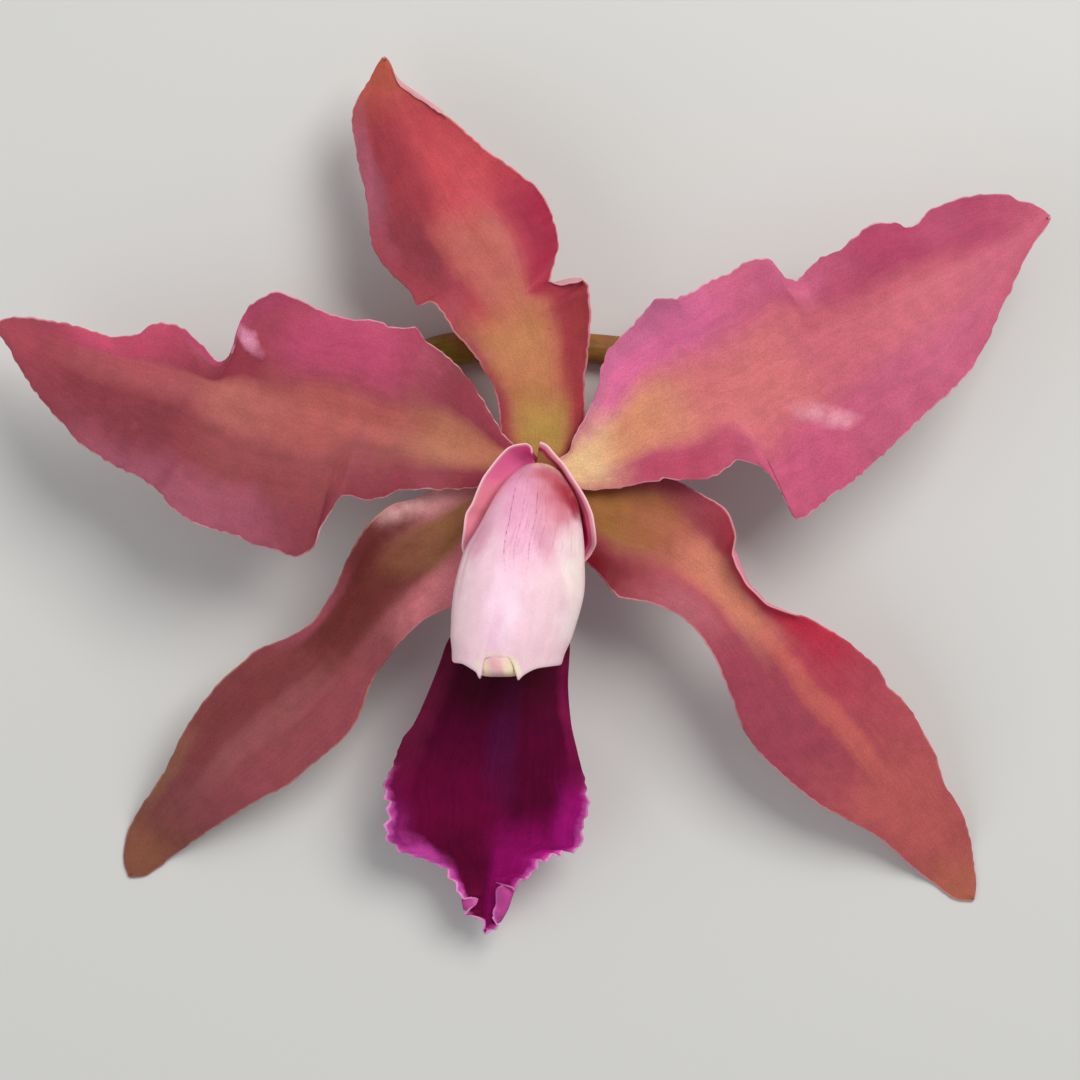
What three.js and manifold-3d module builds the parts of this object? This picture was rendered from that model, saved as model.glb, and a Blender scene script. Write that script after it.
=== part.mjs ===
// A picked cattleya orchid bloom that lies face up, on the tips of its two lower sepals and on its
// own stalk. Millimetres, +Z up, +Y towards the top of the bloom. The origin of the finished part
// is the middle of its footprint, on the surface that it lies on.
//
// Each petal and sepal is a thin blade between two margins, hung on a rib. Their outlines are given
// about the heart of the bloom as [x, y, lift], where lift is how far the margin stands above the
// rib, and ribs as [x, y, z]. All of x and y is drawn as it looks from one point high above the
// bloom, so seen() turns it into true places, which spread a little more the lower they lie.

import * as THREE from 'three';
import { mergeVertices } from 'three/addons/utils/BufferGeometryUtils.js';
import Module from 'manifold-3d';

const wasm = await Module();
wasm.setup();

// Driving dimensions.
const EYE_HEIGHT = 420; // the point above the surface from which the outlines are drawn
const HEART_HEIGHT = 14; // the level at which the drawn sizes are true
const MIDDLE = new THREE.Vector2(-0.5, -7.9); // the spot straight below that point
const RIB_THICKNESS = 0.95; // of a petal or sepal, along its rib
const RIM_THICKNESS = 0.64; // and along its margin
const TIP_WIDTH = 0.9; // of the blunt end of a petal or sepal
const LONGEST_ROW_STEP = 0.036; // of the rib's length, between two rows of a blade
const SHORTEST_ROW_STEP = 0.009;
const HALF_COLUMNS = 3; // strips of a blade from its rib to its margin
const WALL = 1.1; // of the column's hood, round its hollow
const FLOOR = 0; // the surface that the bloom lies on
const STALK_TOP = 11.5; // just below the sepals' bases
const STALK_SIDES = 12;

// ---------------------------------------------------------------------------------------- curves

/** A smooth curve through values at rising knots, which never runs past them. */
function through(knots, values) {
  const last = knots.length - 1;
  const secant = (i) => (values[i + 1] - values[i]) / (knots[i + 1] - knots[i]);
  const tangents = knots.map((_, i) => {
    if (i === 0) return secant(0);
    if (i === last) return secant(last - 1);
    const before = secant(i - 1);
    const after = secant(i);
    return before * after <= 0 ? 0 : (2 * before * after) / (before + after);
  });
  return (at) => {
    let i = 0;
    while (i < last - 1 && at > knots[i + 1]) i += 1;
    const step = knots[i + 1] - knots[i];
    const t = THREE.MathUtils.clamp((at - knots[i]) / step, 0, 1);
    const rise = t * t * (3 - 2 * t);
    const early = t * (1 - t) * (1 - t) * step * tangents[i];
    const late = t * t * (1 - t) * step * tangents[i + 1];
    return values[i] + (values[i + 1] - values[i]) * rise + early - late;
  };
}

/** The curve through a list of points, as a function that gives a list of coordinates. */
function path(knots, points) {
  const coordinates = points[0].map((_, k) => through(knots, points.map((point) => point[k])));
  return (at) => coordinates.map((coordinate) => coordinate(at));
}

/** How far along its own length each point of a line lies, from 0 to 1. */
function fractions(points) {
  const reach = [0];
  for (let i = 1; i < points.length; i += 1) {
    const [x, y, z] = points[i];
    const [px, py, pz] = points[i - 1];
    reach.push(reach[i - 1] + Math.hypot(x - px, y - py, z - pz));
  }
  return reach.map((length) => length / reach.at(-1));
}

/** The true place of a point that is drawn at x, y and stands at height z. */
function seen(x, y, z) {
  const spread = (EYE_HEIGHT - z) / (EYE_HEIGHT - HEART_HEIGHT);
  return new THREE.Vector3(
    MIDDLE.x + (x - MIDDLE.x) * spread,
    MIDDLE.y + (y - MIDDLE.y) * spread,
    z,
  );
}

/** A repeatable row of numbers between 0 and 1. */
function drawFrom(seed) {
  let state = seed;
  return () => {
    state = (state * 16807) % 2147483647;
    return state / 2147483647;
  };
}

// ---------------------------------------------------------------------------------------- solids

/** A closed geometry from points and triangles, with its faces turned to point out. */
function closed(points, triangles) {
  let volume = 0;
  for (const [a, b, c] of triangles) {
    volume += points[a].dot(new THREE.Vector3().crossVectors(points[b], points[c]));
  }
  const outward = volume > 0 ? triangles : triangles.map(([a, b, c]) => [a, c, b]);
  const geometry = new THREE.BufferGeometry().setFromPoints(points);
  geometry.setIndex(outward.flat());
  return geometry;
}

/** The solid that a closed skin of rings encloses, with a fan over its first and its last ring. */
function rings(list) {
  const size = list[0].length;
  const points = list.flat();
  const triangles = [];
  for (let i = 0; i + 1 < list.length; i += 1) {
    for (let k = 0; k < size; k += 1) {
      const a = i * size + k;
      const b = i * size + ((k + 1) % size);
      triangles.push([a, b, b + size], [a, b + size, a + size]);
    }
  }
  for (const [start, turned] of [[0, true], [(list.length - 1) * size, false]]) {
    const hub = new THREE.Vector3();
    for (let k = 0; k < size; k += 1) hub.addScaledVector(points[start + k], 1 / size);
    points.push(hub);
    for (let k = 0; k < size; k += 1) {
      const a = start + k;
      const b = start + ((k + 1) % size);
      triangles.push(turned ? [b, a, points.length - 1] : [a, b, points.length - 1]);
    }
  }
  return closed(points, triangles);
}

/** A sheet with two faces, one on each side of a grid of points, joined round its rim. */
function sheet(rows, thickness) {
  const across = rows[0].length;
  const along = rows.length;
  const row = (i) => rows[THREE.MathUtils.clamp(i, 0, along - 1)];
  const at = (i, j) => row(i)[THREE.MathUtils.clamp(j, 0, across - 1)];
  const upward = rows.map((_, i) => rows[0].map((__, j) => {
    const lengthwise = at(i + 1, j).clone().sub(at(i - 1, j));
    const crosswise = at(i, j + 1).clone().sub(at(i, j - 1));
    const normal = crosswise.cross(lengthwise).normalize();
    return normal.z < 0 ? normal.negate() : normal;
  }));
  const around = [-1, 0, 1];
  const faces = [[], []];
  for (let i = 0; i < along; i += 1) {
    for (let j = 0; j < across; j += 1) {
      const half = new THREE.Vector3();
      for (const di of around) {
        for (const dj of around) half.add(upward[i + di]?.[j + dj] ?? upward[i][j]);
      }
      half.setLength(thickness(j) / 2);
      for (const [face, side] of [[0, 1], [1, -1]]) {
        const point = at(i, j).clone().addScaledVector(half, side);
        point.z = Math.max(point.z, FLOOR);
        faces[face].push(point);
      }
    }
  }
  const below = along * across;
  const triangles = [];
  for (let i = 0; i + 1 < along; i += 1) {
    for (let j = 0; j + 1 < across; j += 1) {
      const a = i * across + j;
      const b = a + 1;
      const c = a + across;
      const d = c + 1;
      const halves = (i + j) % 2 ? [[a, b, d], [a, d, c]] : [[a, b, c], [b, d, c]];
      for (const [p, q, r] of halves) triangles.push([p, q, r], [p + below, r + below, q + below]);
    }
  }
  const rim = [];
  for (let j = 0; j + 1 < across; j += 1) rim.push(j);
  for (let i = 0; i + 1 < along; i += 1) rim.push(i * across + across - 1);
  for (let j = across - 1; j > 0; j -= 1) rim.push((along - 1) * across + j);
  for (let i = along - 1; i > 0; i -= 1) rim.push(i * across);
  rim.forEach((a, k) => {
    const b = rim[(k + 1) % rim.length];
    triangles.push([b, a, a + below], [b, a + below, b + below]);
  });
  return closed([...faces[0], ...faces[1]], triangles);
}

/** A manifold-3d solid from a closed geometry. */
function solid(geometry) {
  const bare = geometry.clone();
  bare.deleteAttribute('normal');
  bare.deleteAttribute('uv');
  const merged = mergeVertices(bare, 1e-4);
  return new wasm.Manifold(new wasm.Mesh({
    numProp: 3,
    vertProperties: new Float32Array(merged.attributes.position.array),
    triVerts: new Uint32Array(merged.index.array),
  }));
}

/** The geometry of a manifold-3d solid. */
function geometryOf(body) {
  const { vertProperties, triVerts } = body.getMesh();
  const geometry = new THREE.BufferGeometry();
  geometry.setAttribute('position', new THREE.BufferAttribute(vertProperties, 3));
  geometry.setIndex(new THREE.BufferAttribute(triVerts, 1));
  return geometry;
}

/** A stretched ball, with its size given as half lengths. */
function ellipsoid(centre, halfSize, sides) {
  const ball = new THREE.SphereGeometry(1, sides, sides / 2);
  ball.scale(halfSize.x, halfSize.y, halfSize.z);
  ball.translate(centre.x, centre.y, centre.z);
  return solid(ball);
}

// ---------------------------------------------------------------------------------------- blades

/** Where along the rib each point of a margin lies, rising from 0 at the base to 1 at the tip. */
function alongRib(margin, ribAt) {
  const samples = Array.from({ length: 401 }, (_, i) => ribAt(i / 400));
  const nearest = margin.map(([x, y]) => {
    const distances = samples.map(([rx, ry]) => Math.hypot(rx - x, ry - y));
    return distances.indexOf(Math.min(...distances)) / 400;
  });
  const last = nearest.length - 1;
  nearest[0] = 0;
  nearest[last] = 1;
  const smallest = 0.005;
  for (let i = 1; i < last; i += 1) nearest[i] = Math.max(nearest[i], nearest[i - 1] + smallest);
  for (let i = last - 1; i > 0; i -= 1) nearest[i] = Math.min(nearest[i], nearest[i + 1] - smallest);
  return nearest;
}

/** The rows of a blade: one through every point of either margin, and more where these lie far apart. */
function rowPlaces(...margins) {
  const wanted = [...new Set(margins.flat())].sort((a, b) => a - b);
  const places = [0];
  for (const place of wanted) {
    if (place - places.at(-1) < SHORTEST_ROW_STEP) continue;
    const steps = Math.ceil((place - places.at(-1)) / LONGEST_ROW_STEP);
    const from = places.at(-1);
    for (let k = 1; k <= steps; k += 1) places.push(from + ((place - from) * k) / steps);
  }
  places[places.length - 1] = 1;
  return places;
}

/**
 * A thin blade on a rib. turn says how late between rib and margin the margin's lift comes in,
 * arch how far the blade bows up halfway there, and fringe gives the depth of the margin's teeth.
 */
function blade({ rib, left, right, turn = 2, arch = 0, fringe = () => 0 }) {
  const ribAt = path(fractions(rib), rib);
  const [tipX, tipY] = rib.at(-1);
  const [nearX, nearY] = ribAt(0.97);
  const square = new THREE.Vector2(nearY - tipY, tipX - nearX).setLength(TIP_WIDTH / 2);
  const sides = [[left, 1], [right, -1]].map(([margin, side]) => {
    const points = [...margin, [tipX + side * square.x, tipY + side * square.y, 0]];
    const places = alongRib(points, ribAt);
    return { places, at: path(places, points) };
  });
  const rows = rowPlaces(sides[0].places, sides[1].places).map((place, i) => {
    const [rx, ry, rz] = ribAt(place);
    const row = [];
    for (let j = -HALF_COLUMNS; j <= HALF_COLUMNS; j += 1) {
      const share = Math.abs(j) / HALF_COLUMNS;
      const [mx, my, lift] = sides[j < 0 ? 0 : 1].at(place);
      const tooth = share === 1 ? fringe(place, i) / Math.hypot(mx - rx, my - ry) : 0;
      const out = share + tooth;
      const z = rz + lift * share ** turn + arch * share * (1 - share) * 4 * Math.sin(Math.PI * place);
      row.push(seen(rx + (mx - rx) * out, ry + (my - ry) * out, z));
    }
    return row;
  });
  const rimShare = (j) => Math.abs(j - HALF_COLUMNS) / HALF_COLUMNS;
  return sheet(rows, (j) => THREE.MathUtils.lerp(RIB_THICKNESS, RIM_THICKNESS, rimShare(j)));
}

/** The sepal that points up. It is twisted: its right margin folds over halfway to the tip. */
function dorsalSepal() {
  return blade({
    rib: [
      [0.2, 1.7, 12.3], [0, 7.5, 12.6], [-1.7, 14.1, 13.2], [-4.4, 19.6, 14], [-8.3, 25.6, 14.2],
      [-12.7, 32.8, 13.4], [-16, 39.4, 11.6], [-17.7, 45.3, 9.2],
    ],
    left: [
      [-1.8, 1.7, 0], [-4, 2.8, 0], [-5.2, 7.4, 0.3], [-7.4, 12, 1], [-10.1, 15.2, 1.2],
      [-11.7, 17.6, 0.6], [-12.8, 18.3, 0], [-13.8, 17.8, -0.8], [-14.6, 19.2, -1.2], [-17.4, 22, -1.6],
      [-19, 24.8, -2], [-19.6, 29.7, -2.2], [-20.6, 34.1, -1.8], [-21.2, 38.4, -1], [-20.4, 41, -0.5],
      [-19.4, 42.5, -0.2],
    ],
    right: [
      [2.2, 1.7, 0], [3.6, 3.1, 0], [4.8, 6.4, 0.2], [4.4, 9.1, 0.6], [4.8, 13, 1.4], [5.1, 17, 2.2],
      [4.8, 19.6, 2.8], [4.4, 20.9, 2.5], [2.8, 21.3, 1.1], [1.4, 21.6, -0.4], [1.1, 22.8, -1.6],
      [1.5, 24.5, -2], [1, 27.3, -2], [-0.5, 30.5, -1.4], [-3.3, 32.8, -0.6], [-6.4, 35.1, 0.2],
      [-9.2, 37.5, 0.6], [-11.7, 39.6, 0.6], [-14.7, 41.7, 0.4], [-16.1, 42.8, 0.2],
    ],
    arch: -0.3,
  });
}

/** The broad petal on the left, with a deep notch in its upper margin. */
function leftPetal() {
  return blade({
    rib: [
      [-1.3, 0.2, 13.6], [-3.3, 0.9, 13.7], [-10.5, 3.1, 14.2], [-18.2, 4.7, 15.4], [-27, 6.9, 16.6],
      [-35.8, 9.1, 17], [-45.7, 11.7, 16], [-53.4, 13.9, 14.2], [-60.6, 15.7, 11.8],
    ],
    left: [
      [-1.5, -0.8, 0], [-4.6, -1.9, 0.1], [-7.4, -2.2, 0.3], [-11.6, -2.4, 0.6], [-16, -2.4, 1],
      [-17.8, -3.3, 0.4], [-19.3, -3.5, 0.4], [-22.4, -3.1, 1.6], [-23.3, -4.4, 1.9], [-24.5, -6.3, 1.2],
      [-25.4, -8.6, 0], [-26.6, -9.5, -0.6], [-27.6, -9.7, -1.1], [-29.4, -9.1, -1.5],
      [-31.6, -8.6, -1.2], [-33.6, -7.6, -0.4], [-36.3, -6.8, 0.5], [-39.1, -5.7, 0.9], [-41, -4.4, 0.6],
      [-42.6, -2.4, -0.3], [-44.6, -1.1, -0.8], [-47, 0.1, -0.4], [-49, 1.2, 0.3], [-51.2, 2.8, 0.5],
      [-53.4, 5.3, 0], [-55.6, 7.8, -0.5], [-57.8, 11.1, -0.5], [-59.6, 14.2, -0.2],
    ],
    right: [
      [-1.4, 1.3, 0], [-4.4, 2.9, 0.2], [-6.8, 7.7, 0.2], [-8.8, 10.5, 0], [-11, 12.5, -0.2],
      [-13.5, 14.5, -0.4], [-14.4, 15.6, 0.2], [-16.3, 15.5, 0.6], [-18.7, 16.2, 0.9], [-22, 16.5, 1.2],
      [-24.5, 17.3, 1.6], [-27, 18.6, 2], [-29.4, 19.5, 2.4], [-31.1, 18.9, 2.7], [-32.7, 18, 2.7],
      [-33.7, 16.2, 2.1], [-34.1, 14.2, 1], [-34.6, 12.7, 0], [-35.6, 11.8, -0.8], [-36.6, 12.2, -1],
      [-37.5, 13.4, -0.7], [-38.8, 14.7, 0.2], [-40.7, 15.7, 1.2], [-42.9, 16, 1.6], [-45, 14.6, 0.4],
      [-47.6, 14.5, -0.4], [-51.2, 15.6, 0.3], [-53.4, 16.1, 0.8], [-57.8, 16.7, 0.5],
      [-59.4, 16.5, 0.2],
    ],
    arch: 0.4,
  });
}

/** The broad petal on the right, which reaches up further than the left one. */
function rightPetal() {
  return blade({
    rib: [
      [1.3, -0.1, 13.6], [3.9, 0.5, 13.7], [10.5, 4.2, 14.4], [19.3, 8.6, 16], [28.1, 13.5, 17.6],
      [36.9, 17.9, 18], [45.7, 22.7, 16.6], [51.2, 25.5, 14.8], [55.7, 27.7, 13.2],
    ],
    left: [
      [1.4, 1, 0], [2.9, 1.5, 0.2], [3.9, 3.1, 0.3], [5, 5.8, 0.3], [5.8, 9.1, 0.2], [6.5, 11.9, -0.1],
      [7.9, 14.1, -0.5], [9.6, 15.7, -0.6], [11.3, 17.5, 0], [12.2, 18.6, 0.8], [13.8, 18.6, 1.4],
      [16, 19.3, 1.6], [18.2, 20.6, 1.4], [20.4, 21.5, 1], [22.6, 22.9, 1.4], [24.8, 23.1, 2],
      [25.6, 22, 1.6], [26.3, 20.9, 0.8], [27.6, 20.7, -0.4], [28.9, 22, -0.8], [30.3, 23.1, -0.6],
      [32.5, 24, 0.3], [34.1, 25.4, 1], [36.3, 26.9, 1.6], [38.3, 27, 1.2], [39.9, 26.5, 0.3],
      [41, 27, -0.3], [42.7, 28.6, -0.4], [45.1, 29.6, 0.4], [47.9, 30.1, 1.1], [50.1, 30.3, 1.1],
      [52.3, 29.5, 0.6], [54.6, 28.9, 0.2],
    ],
    right: [
      [1.4, -1.2, 0], [5.5, -2.4, 0.3], [10.5, -1.8, 0.8], [13.9, -1.2, 1], [16, -1.4, 1.2],
      [18.2, -1.1, 1], [20.4, 0.3, 0.6], [21.5, 0.9, 0.4], [23.4, 0.4, 0.5], [24.8, -0.8, 0.4],
      [26.2, -2.8, -0.4], [27, -4.4, -1], [27.6, -5.6, -1.4], [28.4, -5.5, -1.5], [29.7, -4.6, -1.4],
      [32.2, -2.6, -0.9], [34.9, -0.7, -0.3], [38, 2.2, 0.3], [40.4, 4.5, 0.6], [42.6, 6.7, 0.4],
      [45.1, 8.8, 0], [46.8, 10.8, -0.2], [48.4, 13.2, 0], [49.7, 16.3, 0.3], [51.2, 19.3, 0.3],
      [52.6, 22.3, 0.2], [54, 24.9, 0],
    ],
    arch: 0.4,
  });
}

/** The lower sepal on the left, which comes down to the surface at its tip. */
function leftSepal() {
  return blade({
    rib: [
      [-1, -1.2, 12.3], [-5, -3.5, 12.2], [-12.7, -9, 12], [-18.7, -15.6, 11.4], [-23.7, -21.7, 10.4],
      [-30.3, -27.7, 8.6], [-36.9, -34.3, 5.6], [-41, -38.9, 2.4], [-43.2, -41.6, 0.32], [-45.7, -45, 0.22],
    ],
    left: [
      [-0.6, -2.2, 0], [-4, -6, 0.2], [-7.2, -10.6, 0.6], [-10.2, -15.1, 1], [-13, -16.6, 1.4],
      [-14.5, -17.8, 1.5], [-16.1, -19.4, 1.5], [-17.3, -21, 1.4], [-18.5, -22.7, 1.2],
      [-19.4, -24.4, 1], [-20.1, -26.7, 0.8], [-21.2, -28.6, 0.6], [-22.7, -30.3, 0.5], [-24.8, -32, 0.5],
      [-28.2, -34.8, 0.7], [-31.8, -36.7, 0.8], [-36.1, -39.4, 0.7], [-40.3, -42.2, 0.3],
      [-42.4, -43.9, 0], [-44.2, -45, 0],
    ],
    right: [
      [-1.5, -0.1, 0], [-5, -0.1, 0], [-8.5, -0.6, 0], [-12, -2.2, 0.3], [-14.2, -3.3, 0.8],
      [-16.1, -3.7, 1.4], [-17.5, -4.5, 1.8], [-18.7, -5.4, 2], [-19.8, -6.6, 2], [-21.5, -9.6, 1.6],
      [-23.3, -13.5, 1], [-25.4, -16.7, 0.5], [-28.2, -18.6, 0.6], [-31.4, -19.8, 0.9],
      [-33.6, -21.6, 1.1], [-36.2, -24, 1.1], [-38.2, -26.6, 1], [-40.2, -29.9, 0.8],
      [-41.7, -33.2, 0.7], [-43.3, -35.6, 0.6], [-45.1, -38.4, 0.3], [-46.1, -41.1, 0], [-46.3, -43.2, 0],
    ],
    arch: 0.3,
  });
}

/** The lower sepal on the right, whose upper margin curls towards the viewer near the heart. */
function rightSepal() {
  return blade({
    rib: [
      [1, -1.2, 12.3], [5, -4.6, 12.2], [11.6, -6.8, 12.1], [18.2, -11.2, 12], [22, -15.6, 11.6],
      [27, -22.2, 10.4], [32.5, -28.8, 8.6], [38, -35.4, 5.7], [42.3, -41, 2.2], [44.6, -44.2, 0.32],
      [47.2, -47.6, 0.22],
    ],
    left: [
      [1.5, -0.1, 0], [5, 0, 0], [10, 0.2, 0], [13, -0.6, 0.2], [15.8, -2, 0.6], [17.4, -2.9, 1],
      [18.9, -3.7, 1.5], [20, -4.6, 2], [20.6, -5.6, 2.4], [21, -7, 2.7], [21.8, -9.8, 2.7],
      [22.3, -11.1, 2.5], [22.9, -12.4, 2.2], [23.9, -13.5, 1.8], [24.8, -14.6, 1.4], [26.1, -15.4, 1],
      [27.8, -16.2, 0.7], [29.7, -16.8, 0.6], [31.6, -17.9, 0.6], [33.4, -19.1, 0.7],
      [35.3, -20.7, 0.8], [36.9, -22.2, 0.8], [37.8, -24, 0.7], [39.1, -25.1, 0.8], [40.3, -26.6, 0.8],
      [41.6, -28.8, 0.7], [43.1, -31.6, 0.6], [43.9, -34.5, 0.5], [45.9, -37.7, 0.4], [46.5, -39.6, 0.3],
      [47, -41.8, 0.1], [47.5, -46, 0],
    ],
    right: [
      [0.6, -2.2, 0], [2.6, -6.5, 0.3], [4.4, -10.1, 0.9], [5.7, -11.4, 1.4], [6.5, -12.3, 1.8],
      [7.3, -13.4, 2], [8.4, -14.3, 2], [9.9, -14.5, 1.7], [11.8, -14.9, 1.3], [13.6, -15.6, 1.1],
      [15.2, -16.5, 1.1], [16.7, -17.9, 1.2], [17.9, -19.5, 1.2], [18.9, -21.3, 1.1], [19.7, -23.2, 1],
      [20.5, -25.1, 0.8], [21.8, -28.6, 0.6], [22.9, -30.4, 0.5], [25.7, -33.4, 0.6], [27.6, -35, 0.7],
      [30, -36.9, 0.8], [34.4, -39.3, 0.8], [36.9, -40.8, 0.6], [39.1, -42.7, 0.3], [41.3, -44.6, 0.1],
      [43.3, -46.1, 0], [45.2, -47.4, 0],
    ],
    arch: 0.3,
  });
}

/** The lip: a trough with a side lobe on each side of the column, a neck and the fringed lobe. */
function lip() {
  const LOBE_STARTS = 0.5; // along the rib, where the teeth begin
  const TOOTH = 0.5;
  const draw = drawFrom(41);
  return blade({
    rib: [
      [-0.7, 1.6, 15.2], [-1.2, -3, 14.9], [-2.2, -8, 14.8], [-3, -13, 14.5], [-3.6, -18, 14],
      [-4.6, -26, 12.8], [-5.4, -34, 10.8], [-6, -41, 8.2], [-6.4, -47, 5.6], [-6.5, -51.3, 4],
    ],
    left: [
      [1.1, 2.2, 3.6], [2, 0.9, 4.6], [2.8, 0, 5.2], [3.5, -1.1, 5.5], [4.4, -2.4, 5.6],
      [5.1, -3.9, 5.4], [5.4, -5.5, 5.1], [5.7, -8.1, 4], [5.2, -9.4, 2.8], [3.6, -11.2, 1.5],
      [2, -13.2, 0.7], [1.6, -16, 0.4], [2.8, -19.3, 0.3], [2.6, -23.7, 0.1], [2.9, -27.8, -0.2],
      [3.6, -31.1, -0.4], [4.3, -34, 0], [4.8, -36.9, 0.5], [4.2, -39.4, 0], [4, -41.6, -0.8],
      [1.9, -42.1, -0.6], [0.9, -42.8, 0], [-0.6, -43.5, 0.6], [-1.5, -45, 1.1], [-2.8, -46, 1.4],
      [-3.6, -48.2, 1.4], [-4.5, -49.9, 0.9],
    ],
    right: [
      [-1.9, 2.6, 3.4], [-3.2, 2.5, 4.3], [-4.4, 2, 4.8], [-5.2, 1.1, 5.2], [-6.1, 0, 5.5],
      [-6.8, -1.1, 5.6], [-7.4, -2.4, 5.6], [-8, -3.9, 5.4], [-8.7, -5.2, 5.1], [-8.9, -6.8, 4.6],
      [-9.1, -8.5, 3.4], [-8.4, -10.6, 1.8], [-7.4, -13, 0.8], [-8, -16, 0.4], [-10.6, -18.9, 0.3],
      [-11.6, -21.6, 0.1], [-13, -25.1, -0.2], [-14.5, -28.3, -0.6], [-15.6, -29.7, -0.7],
      [-16.6, -32.6, -0.5], [-17.6, -34.9, 0.2], [-17, -37.4, 0.6], [-17.3, -40.2, 0],
      [-16.4, -41.6, -0.6], [-13.6, -42.8, -0.8], [-11.1, -43.9, 0], [-9.7, -46.1, 0.6],
      [-8.7, -48.2, 0.9], [-7.7, -50, 0.4],
    ],
    turn: 3.4,
    fringe: (place, i) => (place < LOBE_STARTS || place > 0.95 ? 0 : (i % 2 ? 1 : -0.4) * TOOTH * draw()),
  });
}

// ---------------------------------------------------------------------------------------- column

// Shares of the half width at which a section of the column has its points, closest together at
// the two teeth beside the cap.
const CROWN_SHARES = [
  -1, -0.93, -0.78, -0.62, -0.53, -0.45, -0.38, -0.2, -0.05, 0.08, 0.13, 0.19, 0.28, 0.45, 0.62, 0.8, 0.93,
];
const KEEL_SHARES = [1, 0.93, 0.75, 0.5, 0.2, -0.1, -0.4, -0.68, -0.9];

/** One ring round the column: an arched crown above the widest line and a flatter keel below it. */
function columnRing([x, y, halfWidth, keel, crown], inset = 0, edge = () => 0) {
  const widest = THREE.MathUtils.lerp(keel, crown, 0.4);
  const half = halfWidth - inset;
  const bulge = (share) => Math.sqrt(Math.max(0, 1 - share * share));
  const top = CROWN_SHARES.map((share) => (
    seen(x + half * share, y + edge(share), widest + (crown - inset - widest) * bulge(share))
  ));
  const bottom = KEEL_SHARES.map((share) => (
    seen(x + half * share, y, widest - (widest - keel - inset * 0.8) * bulge(share))
  ));
  return [...top, ...bottom];
}

/** The column: a hood that widens from the heart, hollow at its end, with a notch for the cap. */
function column() {
  const sections = [ // x, y, half width, underside and top
    [-1.5, 1.1, 1.5, 16.8, 19.3], [-1.7, -1.3, 2.85, 16.5, 21.2], [-1.6, -3.5, 4.5, 16.6, 22.3],
    [-1.6, -6.3, 5.5, 16.9, 23.2], [-2.2, -9, 6.5, 17.3, 24], [-2.6, -12.3, 7.1, 17.7, 24.8],
    [-3.1, -15.6, 7.2, 18, 25.2], [-3.8, -18.9, 6.5, 18.3, 25.1], [-4.1, -20.3, 6.2, 18.4, 24.9],
  ];
  const rim = [-4.2, -20.9, 6.1, 18.5, 24.7];
  const edgeLine = through( // how far the rim runs beyond its section, across the hood
    [-1, -0.78, -0.62, -0.53, -0.45, -0.38, 0.08, 0.13, 0.19, 0.28, 0.62, 1],
    [-0.4, -1, -1.6, -2.4, -1.1, 0.2, 0.2, -1.3, -2.5, -1.8, -1.2, -0.6],
  );
  const hollow = [[...rim], [-4.1, -18.6, 6, 18.6, 24.5], [-3.9, -16.4, 4.6, 19.2, 23.6]];
  return rings([
    ...sections.map((section) => columnRing(section)),
    columnRing(rim, 0, edgeLine),
    columnRing(hollow[0], WALL, (share) => Math.min(0, edgeLine(share) + 0.4)),
    columnRing(hollow[1], WALL),
    columnRing(hollow[2], WALL),
  ]);
}

const CAP_CENTRE = seen(-5, -20.9, 21.5);
const CAP_HALF_SIZE = new THREE.Vector3(2.1, 2.1, 1.7);
const CAP_BRIM = 20.5; // the level of the cap's open underside
const POLLEN_ROOM = new THREE.Vector3(1.35, 1.35, 1.5);

/** The anther cap: a small dome, open below. */
function antherCap() {
  const size = 10;
  const above = new THREE.BoxGeometry(size, size, size);
  above.translate(CAP_CENTRE.x, CAP_CENTRE.y, CAP_BRIM + size / 2);
  const dome = ellipsoid(CAP_CENTRE, CAP_HALF_SIZE, 20).intersect(solid(above));
  const room = ellipsoid(CAP_CENTRE.clone().setZ(CAP_BRIM), POLLEN_ROOM, 12);
  return geometryOf(dome.subtract(room));
}

/** The four waxy pollen masses, grown together, under the cap. */
function pollinia() {
  const halfSize = new THREE.Vector3(0.42, 0.46, 0.62);
  const apart = 0.32;
  let masses = null;
  for (const [side, row] of [[-1, -1], [1, -1], [-1, 1], [1, 1]]) {
    const centre = CAP_CENTRE.clone().setZ(CAP_BRIM + 0.35).add(new THREE.Vector3(side * apart, row * apart, 0));
    const mass = ellipsoid(centre, halfSize, 8);
    masses = masses ? masses.add(mass) : mass;
  }
  return geometryOf(masses);
}

// ----------------------------------------------------------------------------------------- stalk

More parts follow.
